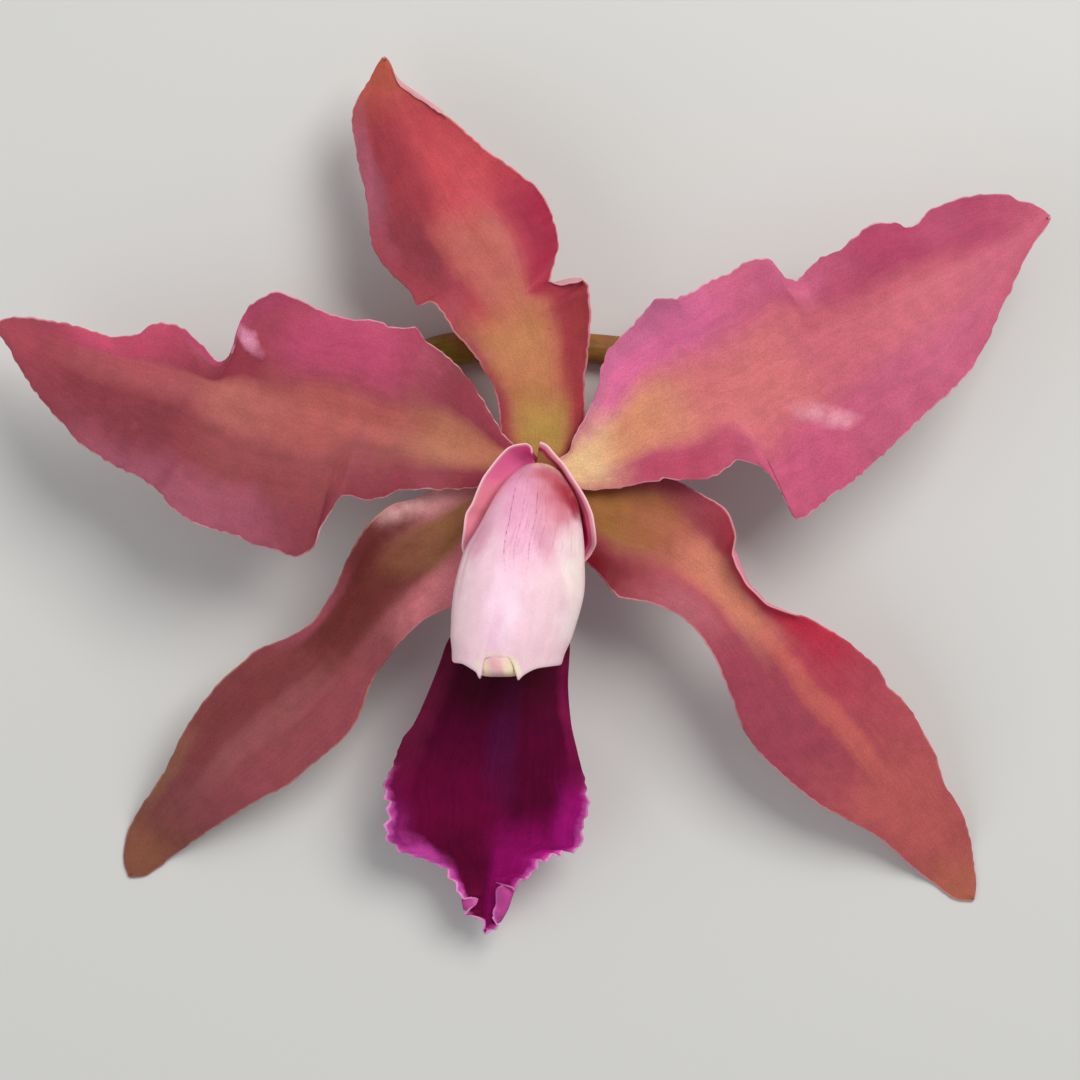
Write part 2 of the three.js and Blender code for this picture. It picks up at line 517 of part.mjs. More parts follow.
/** The ovary, which turns under the bloom, and the stem that runs on along the surface. */
function stalk() {
  const line = [ // x, y, z of the middle and the radius there
    [0, 0, 11.5, 2.6], [-0.7, -0.1, 9.6, 2.65], [-2.9, -0.3, 7.6, 2.75], [-6.6, 0, 6.2, 2.8],
    [-11.5, 1.4, 4.9, 2.7], [-15.6, 4.3, 3.5, 2.4], [-16.4, 8.4, 2.4, 2.15], [-13.2, 12, 1.95, 2],
    [-7, 13.5, 1.75, 1.85], [4, 13.2, 1.65, 1.75], [16, 12.4, 1.6, 1.7], [29, 14, 1.6, 1.7],
    [42, 17.5, 1.6, 1.7],
  ];
  const places = fractions(line);
  const middles = line.map(([x, y, z]) => seen(x, y, z));
  const curve = new THREE.CatmullRomCurve3(middles, false, 'centripetal');
  const radiusAt = through(places, line.map((point) => point[3]));
  const steps = 44;
  const list = [];
  for (let i = 0; i <= steps; i += 1) {
    const middle = curve.getPointAt(i / steps);
    const ahead = curve.getTangentAt(i / steps);
    if (i === 0) ahead.set(0, 0, -1);
    const sideways = new THREE.Vector3(0, 0, 1).cross(ahead);
    if (sideways.lengthSq() < 0.01) sideways.set(0, -1, 0);
    sideways.normalize();
    const upward = ahead.clone().cross(sideways).normalize();
    const ring = [];
    for (let k = 0; k < STALK_SIDES; k += 1) {
      const angle = (2 * Math.PI * (k + 0.5)) / STALK_SIDES;
      const point = middle.clone()
        .addScaledVector(sideways, Math.cos(angle) * radiusAt(i / steps))
        .addScaledVector(upward, Math.sin(angle) * radiusAt(i / steps));
      point.z = THREE.MathUtils.clamp(point.z, FLOOR, STALK_TOP);
      ring.push(point);
    }
    list.push(ring);
  }
  return rings(list);
}

// ------------------------------------------------------------------------------------- the bloom

const pieces = [ // name, solid, colour, roughness
  ['dorsal_sepal', dorsalSepal(), '#b85a52', 0.5],
  ['left_petal', leftPetal(), '#a4525c', 0.5],
  ['right_petal', rightPetal(), '#cc5a78', 0.5],
  ['left_sepal', leftSepal(), '#8e4846', 0.5],
  ['right_sepal', rightSepal(), '#b4504e', 0.5],
  ['lip', lip(), '#5c0430', 0.45],
  ['column', column(), '#f2cfe0', 0.4],
  ['anther_cap', antherCap(), '#f0e0bc', 0.4],
  ['pollinia', pollinia(), '#e8c860', 0.4],
  ['stalk', stalk(), '#7a5a24', 0.45],
];

/** All pieces, moved so that the origin is the middle of the footprint. */
function bloom() {
  const flower = new THREE.Group();
  for (const [name, geometry, color, roughness] of pieces) {
    const material = new THREE.MeshStandardMaterial({ color, roughness, metalness: 0 });
    const mesh = new THREE.Mesh(geometry, material);
    mesh.name = name;
    flower.add(mesh);
  }
  const box = new THREE.Box3().setFromObject(flower);
  const centre = box.getCenter(new THREE.Vector3());
  flower.position.set(-centre.x, -centre.y, -box.min.z);
  return flower;
}

export default bloom();
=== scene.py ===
"""A picked cattleya orchid bloom, lying face up on a pale surface.

Every piece is drawn about the heart of the bloom, in millimetres, as it looks from one point high
above it: seen() turns a drawn place into a true one. A blade (sepal, petal or lip) is a thin sheet
between two margins, hung on a rib, whose rim can be ruffled, toothed and rolled over.
"""

import math

import bpy
import numpy as np
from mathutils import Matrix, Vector


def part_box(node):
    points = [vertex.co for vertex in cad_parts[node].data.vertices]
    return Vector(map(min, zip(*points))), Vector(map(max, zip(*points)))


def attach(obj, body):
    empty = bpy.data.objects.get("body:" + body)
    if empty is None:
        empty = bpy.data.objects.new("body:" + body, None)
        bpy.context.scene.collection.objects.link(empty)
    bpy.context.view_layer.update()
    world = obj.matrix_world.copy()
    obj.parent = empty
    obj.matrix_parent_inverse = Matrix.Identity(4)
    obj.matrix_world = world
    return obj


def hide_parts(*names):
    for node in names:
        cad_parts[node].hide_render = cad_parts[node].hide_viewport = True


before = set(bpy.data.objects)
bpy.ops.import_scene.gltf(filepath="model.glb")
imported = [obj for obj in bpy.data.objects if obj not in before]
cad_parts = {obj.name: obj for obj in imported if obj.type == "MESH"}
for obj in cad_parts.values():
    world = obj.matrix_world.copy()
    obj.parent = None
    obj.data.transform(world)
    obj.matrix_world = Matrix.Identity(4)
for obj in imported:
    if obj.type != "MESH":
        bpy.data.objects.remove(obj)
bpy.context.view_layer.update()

MM = 0.001
EYE_HEIGHT = 420.0  # mm, the point above the surface from which the outlines are drawn
HEART_HEIGHT = 14.0  # mm, the level at which the drawn sizes are true
MIDDLE = np.array([-0.5, -7.9])  # the spot straight below that point
VIEW_WIDTH = 118.8  # mm, what the camera takes in at that level
CAP_CENTRE = np.array([-5.0, -20.9, 21.5])  # the anther cap's, as drawn
FLOOR = 0.0


# ---------------------------------------------------------------------------------------- places


def seen(points):
    """The true places of points [x, y, z] whose x and y are drawn from the eye."""
    points = np.asarray(points, float)
    spread = (EYE_HEIGHT - points[..., 2:]) / (EYE_HEIGHT - HEART_HEIGHT)
    plan = MIDDLE + (points[..., :2] - MIDDLE) * spread
    return np.concatenate([plan, points[..., 2:]], axis=-1)


def find_heart():
    """The place of the heart on the surface: the round anther cap is centred on its drawn point."""
    low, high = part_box("anther_cap")
    cap = seen(CAP_CENTRE)
    return np.array([(low.x + high.x) / 2 / MM - cap[0], (low.y + high.y) / 2 / MM - cap[1], 0.0])


HEART = find_heart()


# ---------------------------------------------------------------------------------------- curves


def through(knots, values):
    """A smooth curve through values at rising knots, which never runs past them."""
    knots = np.asarray(knots, float)
    values = np.asarray(values, float).reshape(len(knots), -1)
    steps = np.diff(knots)[:, None]
    secants = np.diff(values, axis=0) / steps
    product = secants[:-1] * secants[1:]
    total = np.where(product > 0, secants[:-1] + secants[1:], 1)
    tangents = np.vstack([secants[:1], np.where(product > 0, 2 * product / total, 0), secants[-1:]])

    def at(places):
        places = np.clip(places, knots[0], knots[-1])
        i = np.clip(np.searchsorted(knots, places) - 1, 0, len(knots) - 2)
        t = ((places - knots[i])[:, None]) / steps[i]
        rise = t * t * (3 - 2 * t)
        early = t * (1 - t) ** 2 * steps[i] * tangents[i]
        late = t * t * (1 - t) * steps[i] * tangents[i + 1]
        return values[i] + (values[i + 1] - values[i]) * rise + early - late

    return at


def lengths_along(line):
    """How far along a line each of its points lies."""
    steps = np.linalg.norm(np.diff(line, axis=0), axis=1)
    return np.concatenate([[0], np.cumsum(steps)])


def fractions(points):
    """How far along a line each of its points lies, as a share of its length."""
    lengths = lengths_along(np.asarray(points, float)[:, :3])
    return lengths / lengths[-1]


def smoothstep(low, high, value):
    """The value eased from 0 at the low end to 1 at the high end."""
    t = np.clip((value - low) / (high - low), 0, 1)
    return t * t * (3 - 2 * t)


def unit(vectors):
    """The vectors at a length of one."""
    return vectors / np.maximum(np.linalg.norm(vectors, axis=-1, keepdims=True), 1e-9)


def smoothed(values, reach):
    """The running mean of a row of values, with the ends held."""
    kernel = np.hanning(2 * reach + 3)[1:-1]
    padded = np.concatenate([np.repeat(values[:1], reach, 0), values, np.repeat(values[-1:], reach, 0)])
    columns = [np.convolve(column, kernel / kernel.sum(), "valid") for column in padded.T]
    return np.stack(columns, axis=1)


def wander(lengths, spacing, seed):
    """A smooth random wave between about -1 and 1 along a line."""
    count = max(4, int(lengths[-1] / spacing) + 2)
    knots = np.linspace(0, max(lengths[-1], 1e-6), count)
    return through(knots, np.random.default_rng(seed).uniform(-1, 1, count))(lengths)[:, 0]


def spikes(lengths, spacing, seed):
    """Sharp random teeth, from -0.4 to 1, along a line."""
    draw = np.random.default_rng(seed)
    knots = [0.0]
    while knots[-1] < lengths[-1]:
        knots.append(knots[-1] + spacing * draw.uniform(0.3, 0.75))
    heights = [draw.uniform(0.15, 1) if i % 2 else -draw.uniform(0, 0.4) for i in range(len(knots))]
    return np.interp(lengths, knots, heights)


def swell(x, y, seed, size, waves=7):
    """A gentle unevenness over a plane, about -1 to 1, with hollows of the given size."""
    draw = np.random.default_rng(seed)
    total = 0
    for _ in range(waves):
        turn, phase = draw.uniform(0, 2 * math.pi, 2)
        length = size * draw.uniform(0.7, 1.6)
        total = total + np.sin((x * math.cos(turn) + y * math.sin(turn)) * math.pi / length + phase)
    return total / 4


def crease(x, y, start, end, width):
    """How near each point is to a straight crease: 1 on it, fading out over its width."""
    run = np.subtract(end, start)
    share = ((x - start[0]) * run[0] + (y - start[1]) * run[1]) / (run @ run)
    share = np.clip(share, 0, 1)
    gap = np.hypot(x - start[0] - run[0] * share, y - start[1] - run[1] * share)
    return np.exp(-((gap / width) ** 2))


# ---------------------------------------------------------------------------------------- meshes

NO_EDGE = 5.0  # mm, the distance from the edge that a piece without a rim is given


def add_object(name, data):
    """An object in the scene, from a mesh, a lamp or a camera."""
    added = bpy.data.objects.new(name, data)
    bpy.context.scene.collection.objects.link(added)
    return added


def add_piece(name, node, points, faces, maps, material):
    """A piece in place of a CAD node, from points in millimetres about the heart."""
    mesh = bpy.data.meshes.new(name)
    mesh.from_pydata(((points + HEART) * MM).tolist(), [], faces)
    mesh.polygons.foreach_set("use_smooth", np.ones(len(mesh.polygons), bool))
    corners = np.zeros(len(mesh.loops), int)
    mesh.loops.foreach_get("vertex_index", corners)
    for layer, values in maps.items():
        uv = mesh.uv_layers.new(name=layer)
        uv.data.foreach_set("uv", values[corners].ravel().astype(np.float32))
    mesh.materials.append(material)
    mesh.update()
    piece = add_object(name, mesh)
    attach(piece, "root")
    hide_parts(node)


def sheet_faces(along, across):
    """Quads over the upper and the under face of a grid and round its rim."""
    index = np.arange(along * across).reshape(along, across)
    below = along * across
    top = np.stack([index[:-1, :-1], index[:-1, 1:], index[1:, 1:], index[1:, :-1]], -1).reshape(-1, 4)
    rim = np.concatenate([index[0, :-1], index[:-1, -1], index[-1, :0:-1], index[:0:-1, 0]])
    ahead = np.roll(rim, -1)
    side = np.stack([ahead, rim, rim + below, ahead + below], -1)
    return np.concatenate([top, top[:, ::-1] + below, side]).tolist()


def sheet_points(grid, thickness):
    """The upper and the under face of a grid of true points, half its thickness to each side."""
    lengthwise = np.gradient(grid, axis=0)
    crosswise = np.gradient(grid, axis=1)
    normal = unit(np.cross(crosswise, lengthwise))
    if normal[..., 2].sum() < 0:
        normal = -normal
    half = normal * thickness[..., None] / 2
    both = np.stack([grid + half, grid - half]).reshape(-1, 3)
    both[:, 2] = np.maximum(both[:, 2], FLOOR)
    return both


def two_faced(u, v, under_v=None):
    """A map over both faces of a sheet, the same on both unless the under face has a v of its own."""
    under = v if under_v is None else under_v
    return np.stack([np.stack([u, v], -1), np.stack([u, under], -1)]).reshape(-1, 2)


def rimless(drawn, blade):
    """The maps of a piece that has no rim."""
    return {"drawn": drawn, "blade": blade, "edge": np.tile([NO_EDGE, 1.0], (len(drawn), 1))}


def circle(count):
    """Evenly spaced places [x, y] round a circle of radius 1."""
    angle = np.linspace(0, 2 * math.pi, count, endpoint=False)
    return np.stack([np.cos(angle), np.sin(angle)], -1)


def ring_at(plan, tilt, steepness=1):
    """The ring that an outline makes on a ball of radius 1, at a tilt up from its waist."""
    around = plan * math.cos(tilt) ** steepness
    return np.concatenate([around, np.full((len(plan), 1), math.sin(tilt))], -1)


def loft(rings):
    """Points and faces of the closed skin over a row of rings, with a fan over each end."""
    count, size = len(rings), len(rings[0])
    points = [*np.concatenate(rings), rings[0].mean(0), rings[-1].mean(0)]
    faces = []
    for i in range(count - 1):
        for k in range(size):
            a, b = i * size + k, i * size + (k + 1) % size
            faces.append((a, b, b + size, a + size))
    for k in range(size):
        ahead = (k + 1) % size
        faces.append((ahead, k, count * size))
        faces.append(((count - 1) * size + k, (count - 1) * size + ahead, count * size + 1))
    return np.array(points), faces


# ---------------------------------------------------------------------------------------- blades

MAIN_COLUMNS = 24  # from the rib to where the rim begins, on each side
RIM_COLUMNS = 12
RIM_CROWDING = 1.8  # above 1, the rim's columns lie closer together towards the edge
RIM_REACH = 2.4  # mm, how wide the rim is
ROLL_RADIUS = 0.5  # mm, of a rim's bend where no curl gives another
ROLL_EASE = 3.0  # mm of the margin, over which a curl begins and ends
ROLLED = 0.5  # radians, from which a rim counts as rolled
LEAST_WIDTH = 0.02  # mm, of one half of a blade, as the next two
TOOTHED_WIDTHS = (0.4, 2.5)  # from which teeth show, and from which they are whole
RUFFLED_WIDTHS = (1, 6)  # the same for the ruffles
RIB_EASING = 14  # the rib's bends are evened out over the rows divided by this
LEVEL_EASING = 34  # and the levels over the rows divided by this
RIB_THICKNESS = 0.55
EDGE_THICKNESS = 0.22
EDGE_ROUNDING = 0.14  # mm, over which the edge itself thins out
EDGE_LEAST = 0.3  # the share of the thickness that is left at its very end
GROOVE_WIDTH = 1.3
NOSE = 1.3  # mm, the length of the rounded tip
TIP_WIDTH = 0.9

PLAIN_BLADE = {
    "rise": (np.square, np.square),  # how the lift of the left and the right margin grows outwards
    "arch": 0,  # mm, how far each half bows up between the rib and its margin
    "groove": 0.3,  # mm, how deep the rib is sunk
    "rim_share": 0.45,  # the most of a half's width that its rim takes
    "ruffle": (0.25, 5),  # mm, the height and length of the waves along a margin
    "swell": (0.15, 5),  # mm, the depth and size of the unevenness of the face
    "teeth": lambda lengths, rows: 0 * lengths,  # mm, how far the edge runs past its margin
    "curls": (),  # the stretches of rolled rim
    "creases": (),  # the straight folds: both ends, width and height
    "seed": 1,
}


def along_rib(margin, rib_at):
    """Where along the rib each point of a margin lies, rising from 0 at the base to 1 at the tip."""
    smallest = 0.005
    samples = np.linspace(0, 1, 401)
    gaps = np.linalg.norm(margin[:, None, :2] - rib_at(samples)[None, :, :2], axis=2)
    places = samples[gaps.argmin(axis=1)]
    places[0], places[-1] = 0, 1
    for i in range(1, len(places) - 1):
        places[i] = max(places[i], places[i - 1] + smallest)
    for i in range(len(places) - 2, 0, -1):
        places[i] = min(places[i], places[i + 1] - smallest)
    return places


def margin_curve(margin, side, rib, rib_at):
    """A margin that ends at the blunt tip of its rib, as a curve over places along the rib."""
    tip = np.array(rib[-1][:2])
    ahead = tip - rib_at(np.array([0.97]))[0, :2]
    square = unit(np.array([-ahead[1], ahead[0]])) * TIP_WIDTH / 2
    points = np.array([*margin, [*(tip + side * square), 0]], float)
    return through(along_rib(points, rib_at), points)


def rows_for(curves, count):
    """Places along the rib that share out the length of the rib and of both margins evenly."""
    fine = np.linspace(0, 1, 6001)
    run = sum(lengths_along(curve(fine)[:, :2]) for curve in curves)
    return np.interp(np.linspace(0, run[-1], count), run, fine)


def curl(side, start, end, angle, radius, reach):
    """A stretch of rim that rolls up and back, between two points of the left or right margin."""
    return {
        "side": ("left", "right").index(side), "start": start, "end": end,
        "angle": angle, "radius": radius, "reach": reach,
    }


def roll_strength(margin, start, end):
    """How far a rim is rolled at each row: all the way between the two points, and less beyond."""
    gaps = [np.hypot(*(margin[:, :2] - point).T) for point in (start, end)]
    first, last = sorted(int(gap.argmin()) for gap in gaps)
    lengths = lengths_along(margin[:, :2])
    ease = min(ROLL_EASE, (lengths[last] - lengths[first]) * 0.48)  # a short curl is whole too
    inward = np.minimum(lengths - lengths[first], lengths[last] - lengths)
    return smoothstep(0, ease, inward)[:, None]


def rolls(side, margin, width, shape):
    """The angle and the radius to which a rim is rolled, and how wide the rim is, at each row."""
    angle = np.zeros_like(width)
    radius = np.full_like(width, ROLL_RADIUS)
    reach = np.full_like(width, RIM_REACH)
    for roll in shape["curls"]:
        if roll["side"] != side:
            continue
        strength = roll_strength(margin, roll["start"], roll["end"])
        begun = np.minimum(1, strength * 8)  # it is wide before it bends
        angle += strength * roll["angle"]
        radius += begun * (roll["radius"] - ROLL_RADIUS)
        reach += begun * (roll["reach"] - RIM_REACH)
    reach = np.minimum(reach, shape["rim_share"] * width)
    return np.minimum(angle, reach / radius), radius, reach


def rim_ways(side, out, margin, rolled):
    """The level ways in which a rim leaves the blade, square to it where rolled, and teeth point."""
    outward = unit(out)
    tangent = unit(np.gradient(smoothed(margin[:, :2], 4), axis=0))
    square = np.stack([tangent[:, 1], -tangent[:, 0]], -1)
    tooth_way = square * (2 * side - 1)
    square *= np.sign((square * outward).sum(-1, keepdims=True))
    return unit(smoothed(outward + (square - outward) * rolled, 3)), tooth_way


def side_of_blade(side, rows, rib_at, margin_at, shape):
    """One side of a blade: its drawn points, and how far each is from the rib and from the edge."""
    tight = rib_at(rows)
    easy = rib_at(smoothed(rows[:, None], len(rows) // RIB_EASING)[:, 0])
    margin = margin_at(rows)
    nose = np.clip(1 - (lengths_along(tight)[-1] - lengths_along(tight)) / NOSE, 0, 0.99)
    round_tip = np.sqrt(1 - nose**2)[:, None]
    out = (margin[:, :2] - tight[:, :2]) * round_tip + (tight - easy)[:, :2]
    lift = margin[:, 2:]
    width = np.maximum(np.hypot(*out.T), LEAST_WIDTH)[:, None]
    lengths = lengths_along(margin[:, :2])

    def face(share):  # the flat blade, at shares of its half width
        plan = easy[:, None, :2] + out[:, None] * share[..., None]
        level = easy[:, 2:] + (tight - easy)[:, 2:] * share
        hump = 6.75 * shape["arch"] * share**2 * (1 - share)  # as high as the arch at its top
        bow = hump * np.sin(math.pi * rows)[:, None]
        return np.concatenate([plan, (level + lift * shape["rise"][side](share) + bow)[..., None]], -1)

    angle, radius, reach = rolls(side, margin, width, shape)
    lying = radius * np.sin(angle) + (reach - angle * radius) * np.cos(angle)
    start = 1 - np.where(angle < math.pi / 2, lying, radius) / width
    rolled = np.clip(angle / ROLLED, 0, 1)
    outward, tooth_way = rim_ways(side, out, margin, rolled)
    foot = face(start)[:, 0]
    step = 0.01
    slope = (foot - face(start - step)[:, 0])[:, 2:] / (step * width)
    forward = unit(np.concatenate([outward, slope], -1))[:, None]
    upward = unit(np.concatenate([-outward * slope, np.ones_like(slope)], -1))[:, None]

    main_share = start * np.linspace(0, 1, MAIN_COLUMNS + 1)[None, :-1]
    t = 1 - (1 - np.linspace(0, 1, RIM_COLUMNS)) ** RIM_CROWDING
    teeth = shape["teeth"](lengths, rows)[:, None] * smoothstep(*TOOTHED_WIDTHS, width) * t**2
    path = t * reach + teeth
    bend = np.minimum(path / radius, angle)
    rest = path - bend * radius
    ahead = (radius * np.sin(bend) + rest * np.cos(bend))[..., None]
    above = (radius * (1 - np.cos(bend)) + rest * np.sin(bend))[..., None]
    roll = foot[:, None] + forward * ahead + upward * above
    flat = face(start + (1 - start) * t) + (tooth_way[:, None] * teeth[..., None]) @ np.eye(2, 3)
    points = np.concatenate([face(main_share), flat + (roll - flat) * rolled[..., None]], axis=1)

    whole = start * width + reach
    from_rib = np.concatenate([main_share * width, start * width + t * reach], axis=1)
    ruffle, length = shape["ruffle"]
    wave = ruffle * wander(lengths, length / 2, shape["seed"] + side)
    wave = wave * smoothstep(*RUFFLED_WIDTHS, width[:, 0])
    points[..., 2] += (from_rib / whole) ** 3 * wave[:, None]
    return points, from_rib, whole - from_rib


def joined(left, right):
    """Both sides of a blade as one grid, from the left margin over the rib to the right margin."""
    return np.concatenate([left[:, :0:-1], right], axis=1)


def blade(name, material, rib, left, right, rows=240, **shape):
    """A thin blade on a rib, from its guide points, in place of the CAD node of the same name."""
    shape = PLAIN_BLADE | shape
    rib_at = through(fractions(rib), rib)
    curves = [margin_curve(margin, side, rib, rib_at) for margin, side in ((left, 1), (right, -1))]
    rows = rows_for([rib_at, *curves], rows)
    halves = [side_of_blade(side, rows, rib_at, curve, shape) for side, curve in enumerate(curves)]
    (l_points, l_rib, l_edge), (r_points, r_rib, r_edge) = halves
    drawn = joined(l_points, r_points)
    from_rib = joined(-l_rib, r_rib)
    from_edge = joined(l_edge, r_edge)

    x, y = drawn[..., 0], drawn[..., 1]
    depth, size = shape["swell"]
    off_rib = smoothstep(0, 3, np.abs(from_rib))
    amid = np.sin(math.pi * rows)[:, None] ** 0.5
    drawn[..., 2] = smoothed(drawn[..., 2], len(rows) // LEVEL_EASING)
    drawn[..., 2] += depth * swell(x, y, shape["seed"], size) * off_rib * amid
    drawn[..., 2] -= shape["groove"] * np.exp(-((from_rib / GROOVE_WIDTH) ** 2)) * amid
    for start, end, width, height in shape["creases"]:
        drawn[..., 2] += height * crease(x, y, start, end, width)

    share = np.abs(from_rib) / (np.abs(from_rib) + from_edge)
    thickness = RIB_THICKNESS + (EDGE_THICKNESS - RIB_THICKNESS) * share
    round_edge = 1 - (1 - np.clip(from_edge / EDGE_ROUNDING, 0, 1)) ** 2
    thickness *= EDGE_LEAST + (1 - EDGE_LEAST) * np.sqrt(round_edge)
    points = sheet_points(seen(drawn), thickness)

    upper = np.ones_like(share)
    maps = {
        "drawn": two_faced(x, y),
        "blade": two_faced(rows[:, None] * upper, (np.sign(from_rib) * share + 1) / 2),
        "edge": two_faced(from_edge, upper, 0 * upper),
    }
    add_piece(name + "_blade", name, points, sheet_faces(*x.shape), maps, material)


# ------------------------------------------------------------------------------------- materials


def colour(text):
    """The linear colour of a six-figure sRGB code."""
    parts = [int(text[i : i + 2], 16) / 255 for i in (1, 3, 5)]
    return (*(c / 12.92 if c <= 0.04045 else ((c + 0.055) / 1.055) ** 2.4 for c in parts), 1)


class Socket:
    """The output of a shader node. Arithmetic on it adds Math nodes to its finish."""

    def __init__(self, finish, link):
        self.finish = finish
        self.link = link

    def maths(self, operation, first, second):
        return self.finish.node("ShaderNodeMath", {"operation": operation}, {0: first, 1: second})

    def __add__(self, other):
        return self.maths("ADD", self, other)

    def __sub__(self, other):
        return self.maths("SUBTRACT", self, other)

    def __rsub__(self, other):
        return self.maths("SUBTRACT", other, self)

    def __mul__(self, other):
        return self.maths("MULTIPLY", self, other)

    __radd__ = __add__
    __rmul__ = __mul__


class Finish:
    """A material under construction."""

    def __init__(self, name):
        self.material = bpy.data.materials.new(name)
        self.material.use_nodes = True
        self.tree = self.material.node_tree
        self.tree.nodes.clear()
        place = self.node("ShaderNodeTexCoord", output="Object")
        self.place = self.vector("SCALE", place, Scale=1 / MM)
        self.drawn = self.node("ShaderNodeUVMap", {"uv_map": "drawn"})
        self.blade = self.node("ShaderNodeUVMap", {"uv_map": "blade"})
        self.edge, self.upper, _ = self.parts(self.node("ShaderNodeUVMap", {"uv_map": "edge"}))

    def node(self, kind, settings=None, sockets=None, output=0):
        """Adds a node: its settings first, then the values or links of its sockets."""
        node = self.tree.nodes.new(kind)
        for name, value in (settings or {}).items():
            setattr(node, name, value)
        for name, value in (sockets or {}).items():
            if isinstance(value, Socket):
                self.tree.links.new(value.link, node.inputs[name])
            else:
                node.inputs[name].default_value = value
        return Socket(self, node.outputs[output]) if node.outputs else node

    def vector(self, operation, first, second=None, output=0, **named):
        """Adds a Vector Math node."""
        sockets = {0: first} | ({} if second is None else {1: second}) | named
        return self.node("ShaderNodeVectorMath", {"operation": operation}, sockets, output)

    def parts(self, vector):
        """The x, y and z of a vector."""
        node = self.node("ShaderNodeSeparateXYZ", None, {0: vector}).link.node
        return [Socket(self, output) for output in node.outputs]

    def noise(self, scale, detail=2.0, at=None, output="Fac"):
        """Noise with the given number of lumps to the millimetre."""
        sockets = {"Vector": at or self.place, "Scale": scale, "Detail": detail}
        return self.node("ShaderNodeTexNoise", None, sockets, output)

    def spread(self, value, low, high, to_low=0.0, to_high=1.0):
        """The value eased from one range to another."""
        sockets = {
            "Value": value, "From Min": low, "From Max": high, "To Min": to_low, "To Max": to_high,
        }
        return self.node("ShaderNodeMapRange", {"interpolation_type": "SMOOTHSTEP"}, sockets)

    def mix(self, factor, under, over, blend="MIX"):
        """Mixes two colours, given as links or as values."""
        settings = {"data_type": "RGBA", "blend_type": blend}
        return self.node("ShaderNodeMix", settings, {0: factor, 6: under, 7: over}, output=2)

    def over(self, under, tint, factor):
        """Lays a colour, given as its code, over another."""
        return self.mix(factor, under, colour(tint))

    def glaze(self, under, drawn, tint, place, size, turn=0.0, strength=1.0, core=0.15):
        """A soft oval of colour: its place, half sizes in millimetres and turn in degrees."""
        oval = {
            "Vector": drawn, "Location": (*place, 0.0),
            "Rotation": (0.0, 0.0, math.radians(turn)), "Scale": (*size, 1.0),
        }
        local = self.node("ShaderNodeMapping", {"vector_type": "TEXTURE"}, oval)
        reach = self.vector("LENGTH", local, output="Value")
        return self.over(under, tint, self.spread(reach, 1.0, core, 0.0, strength))

    def band(self, under, along, across, tint, middle, width, start, end, strength=1.0):
        """A soft stripe along the blade: its middle and half width are shares of the blade's
        half width, from -1 at the left margin to 1 at the right, its ends shares of its length."""
        off = (across - middle) * (1 / width)
        near = self.spread(off * off, 1.0, 0.05)
        begun = self.spread(along, start - 0.08, start + 0.08)
        ended = self.spread(along, end + 0.08, end - 0.08)
        return self.over(under, tint, near * begun * ended * strength)

    def shaded(self, under, value, depth):
        """The colour made up to depth darker and lighter by a value from 0 to 1."""
        grey = self.spread(value, 0.0, 1.0, 1 - depth, 1 + depth)
        tone = self.node("ShaderNodeCombineXYZ", None, {0: grey, 1: grey, 2: grey})
        return self.mix(1.0, under, tone, "MULTIPLY")

    def finished(self, base, roughness, normal, **constant):
        """Joins colour, roughness and normal to the shader. What is constant is set on it."""
        sockets = {"Base Color": base, "Roughness": roughness, "Normal": normal}
        named = {name.replace("_", " "): value for name, value in constant.items()}
        shader = self.node("ShaderNodeBsdfPrincipled", None, sockets | named)
        self.node("ShaderNodeOutputMaterial", None, {"Surface": shader})
        return self.material


# How the drawn place is pushed about, so that no patch of colour is even: lumps to the millimetre,
# and the push in millimetres and in shares of a blade.
WARPS = ((0.16, 2.6, 0.12), (0.9, 0.6, 0.03))
BLUSH_LUMPS = 0.45  # to the millimetre, as the next three
MOTTLE_LUMPS = 0.5
GRAIN_LUMPS = 6.0
CELLS = 4.5
STREAK_LUMPS = (5.0, 40.0, 1.0)  # along and across a blade
BLUSH = "#C8506C"


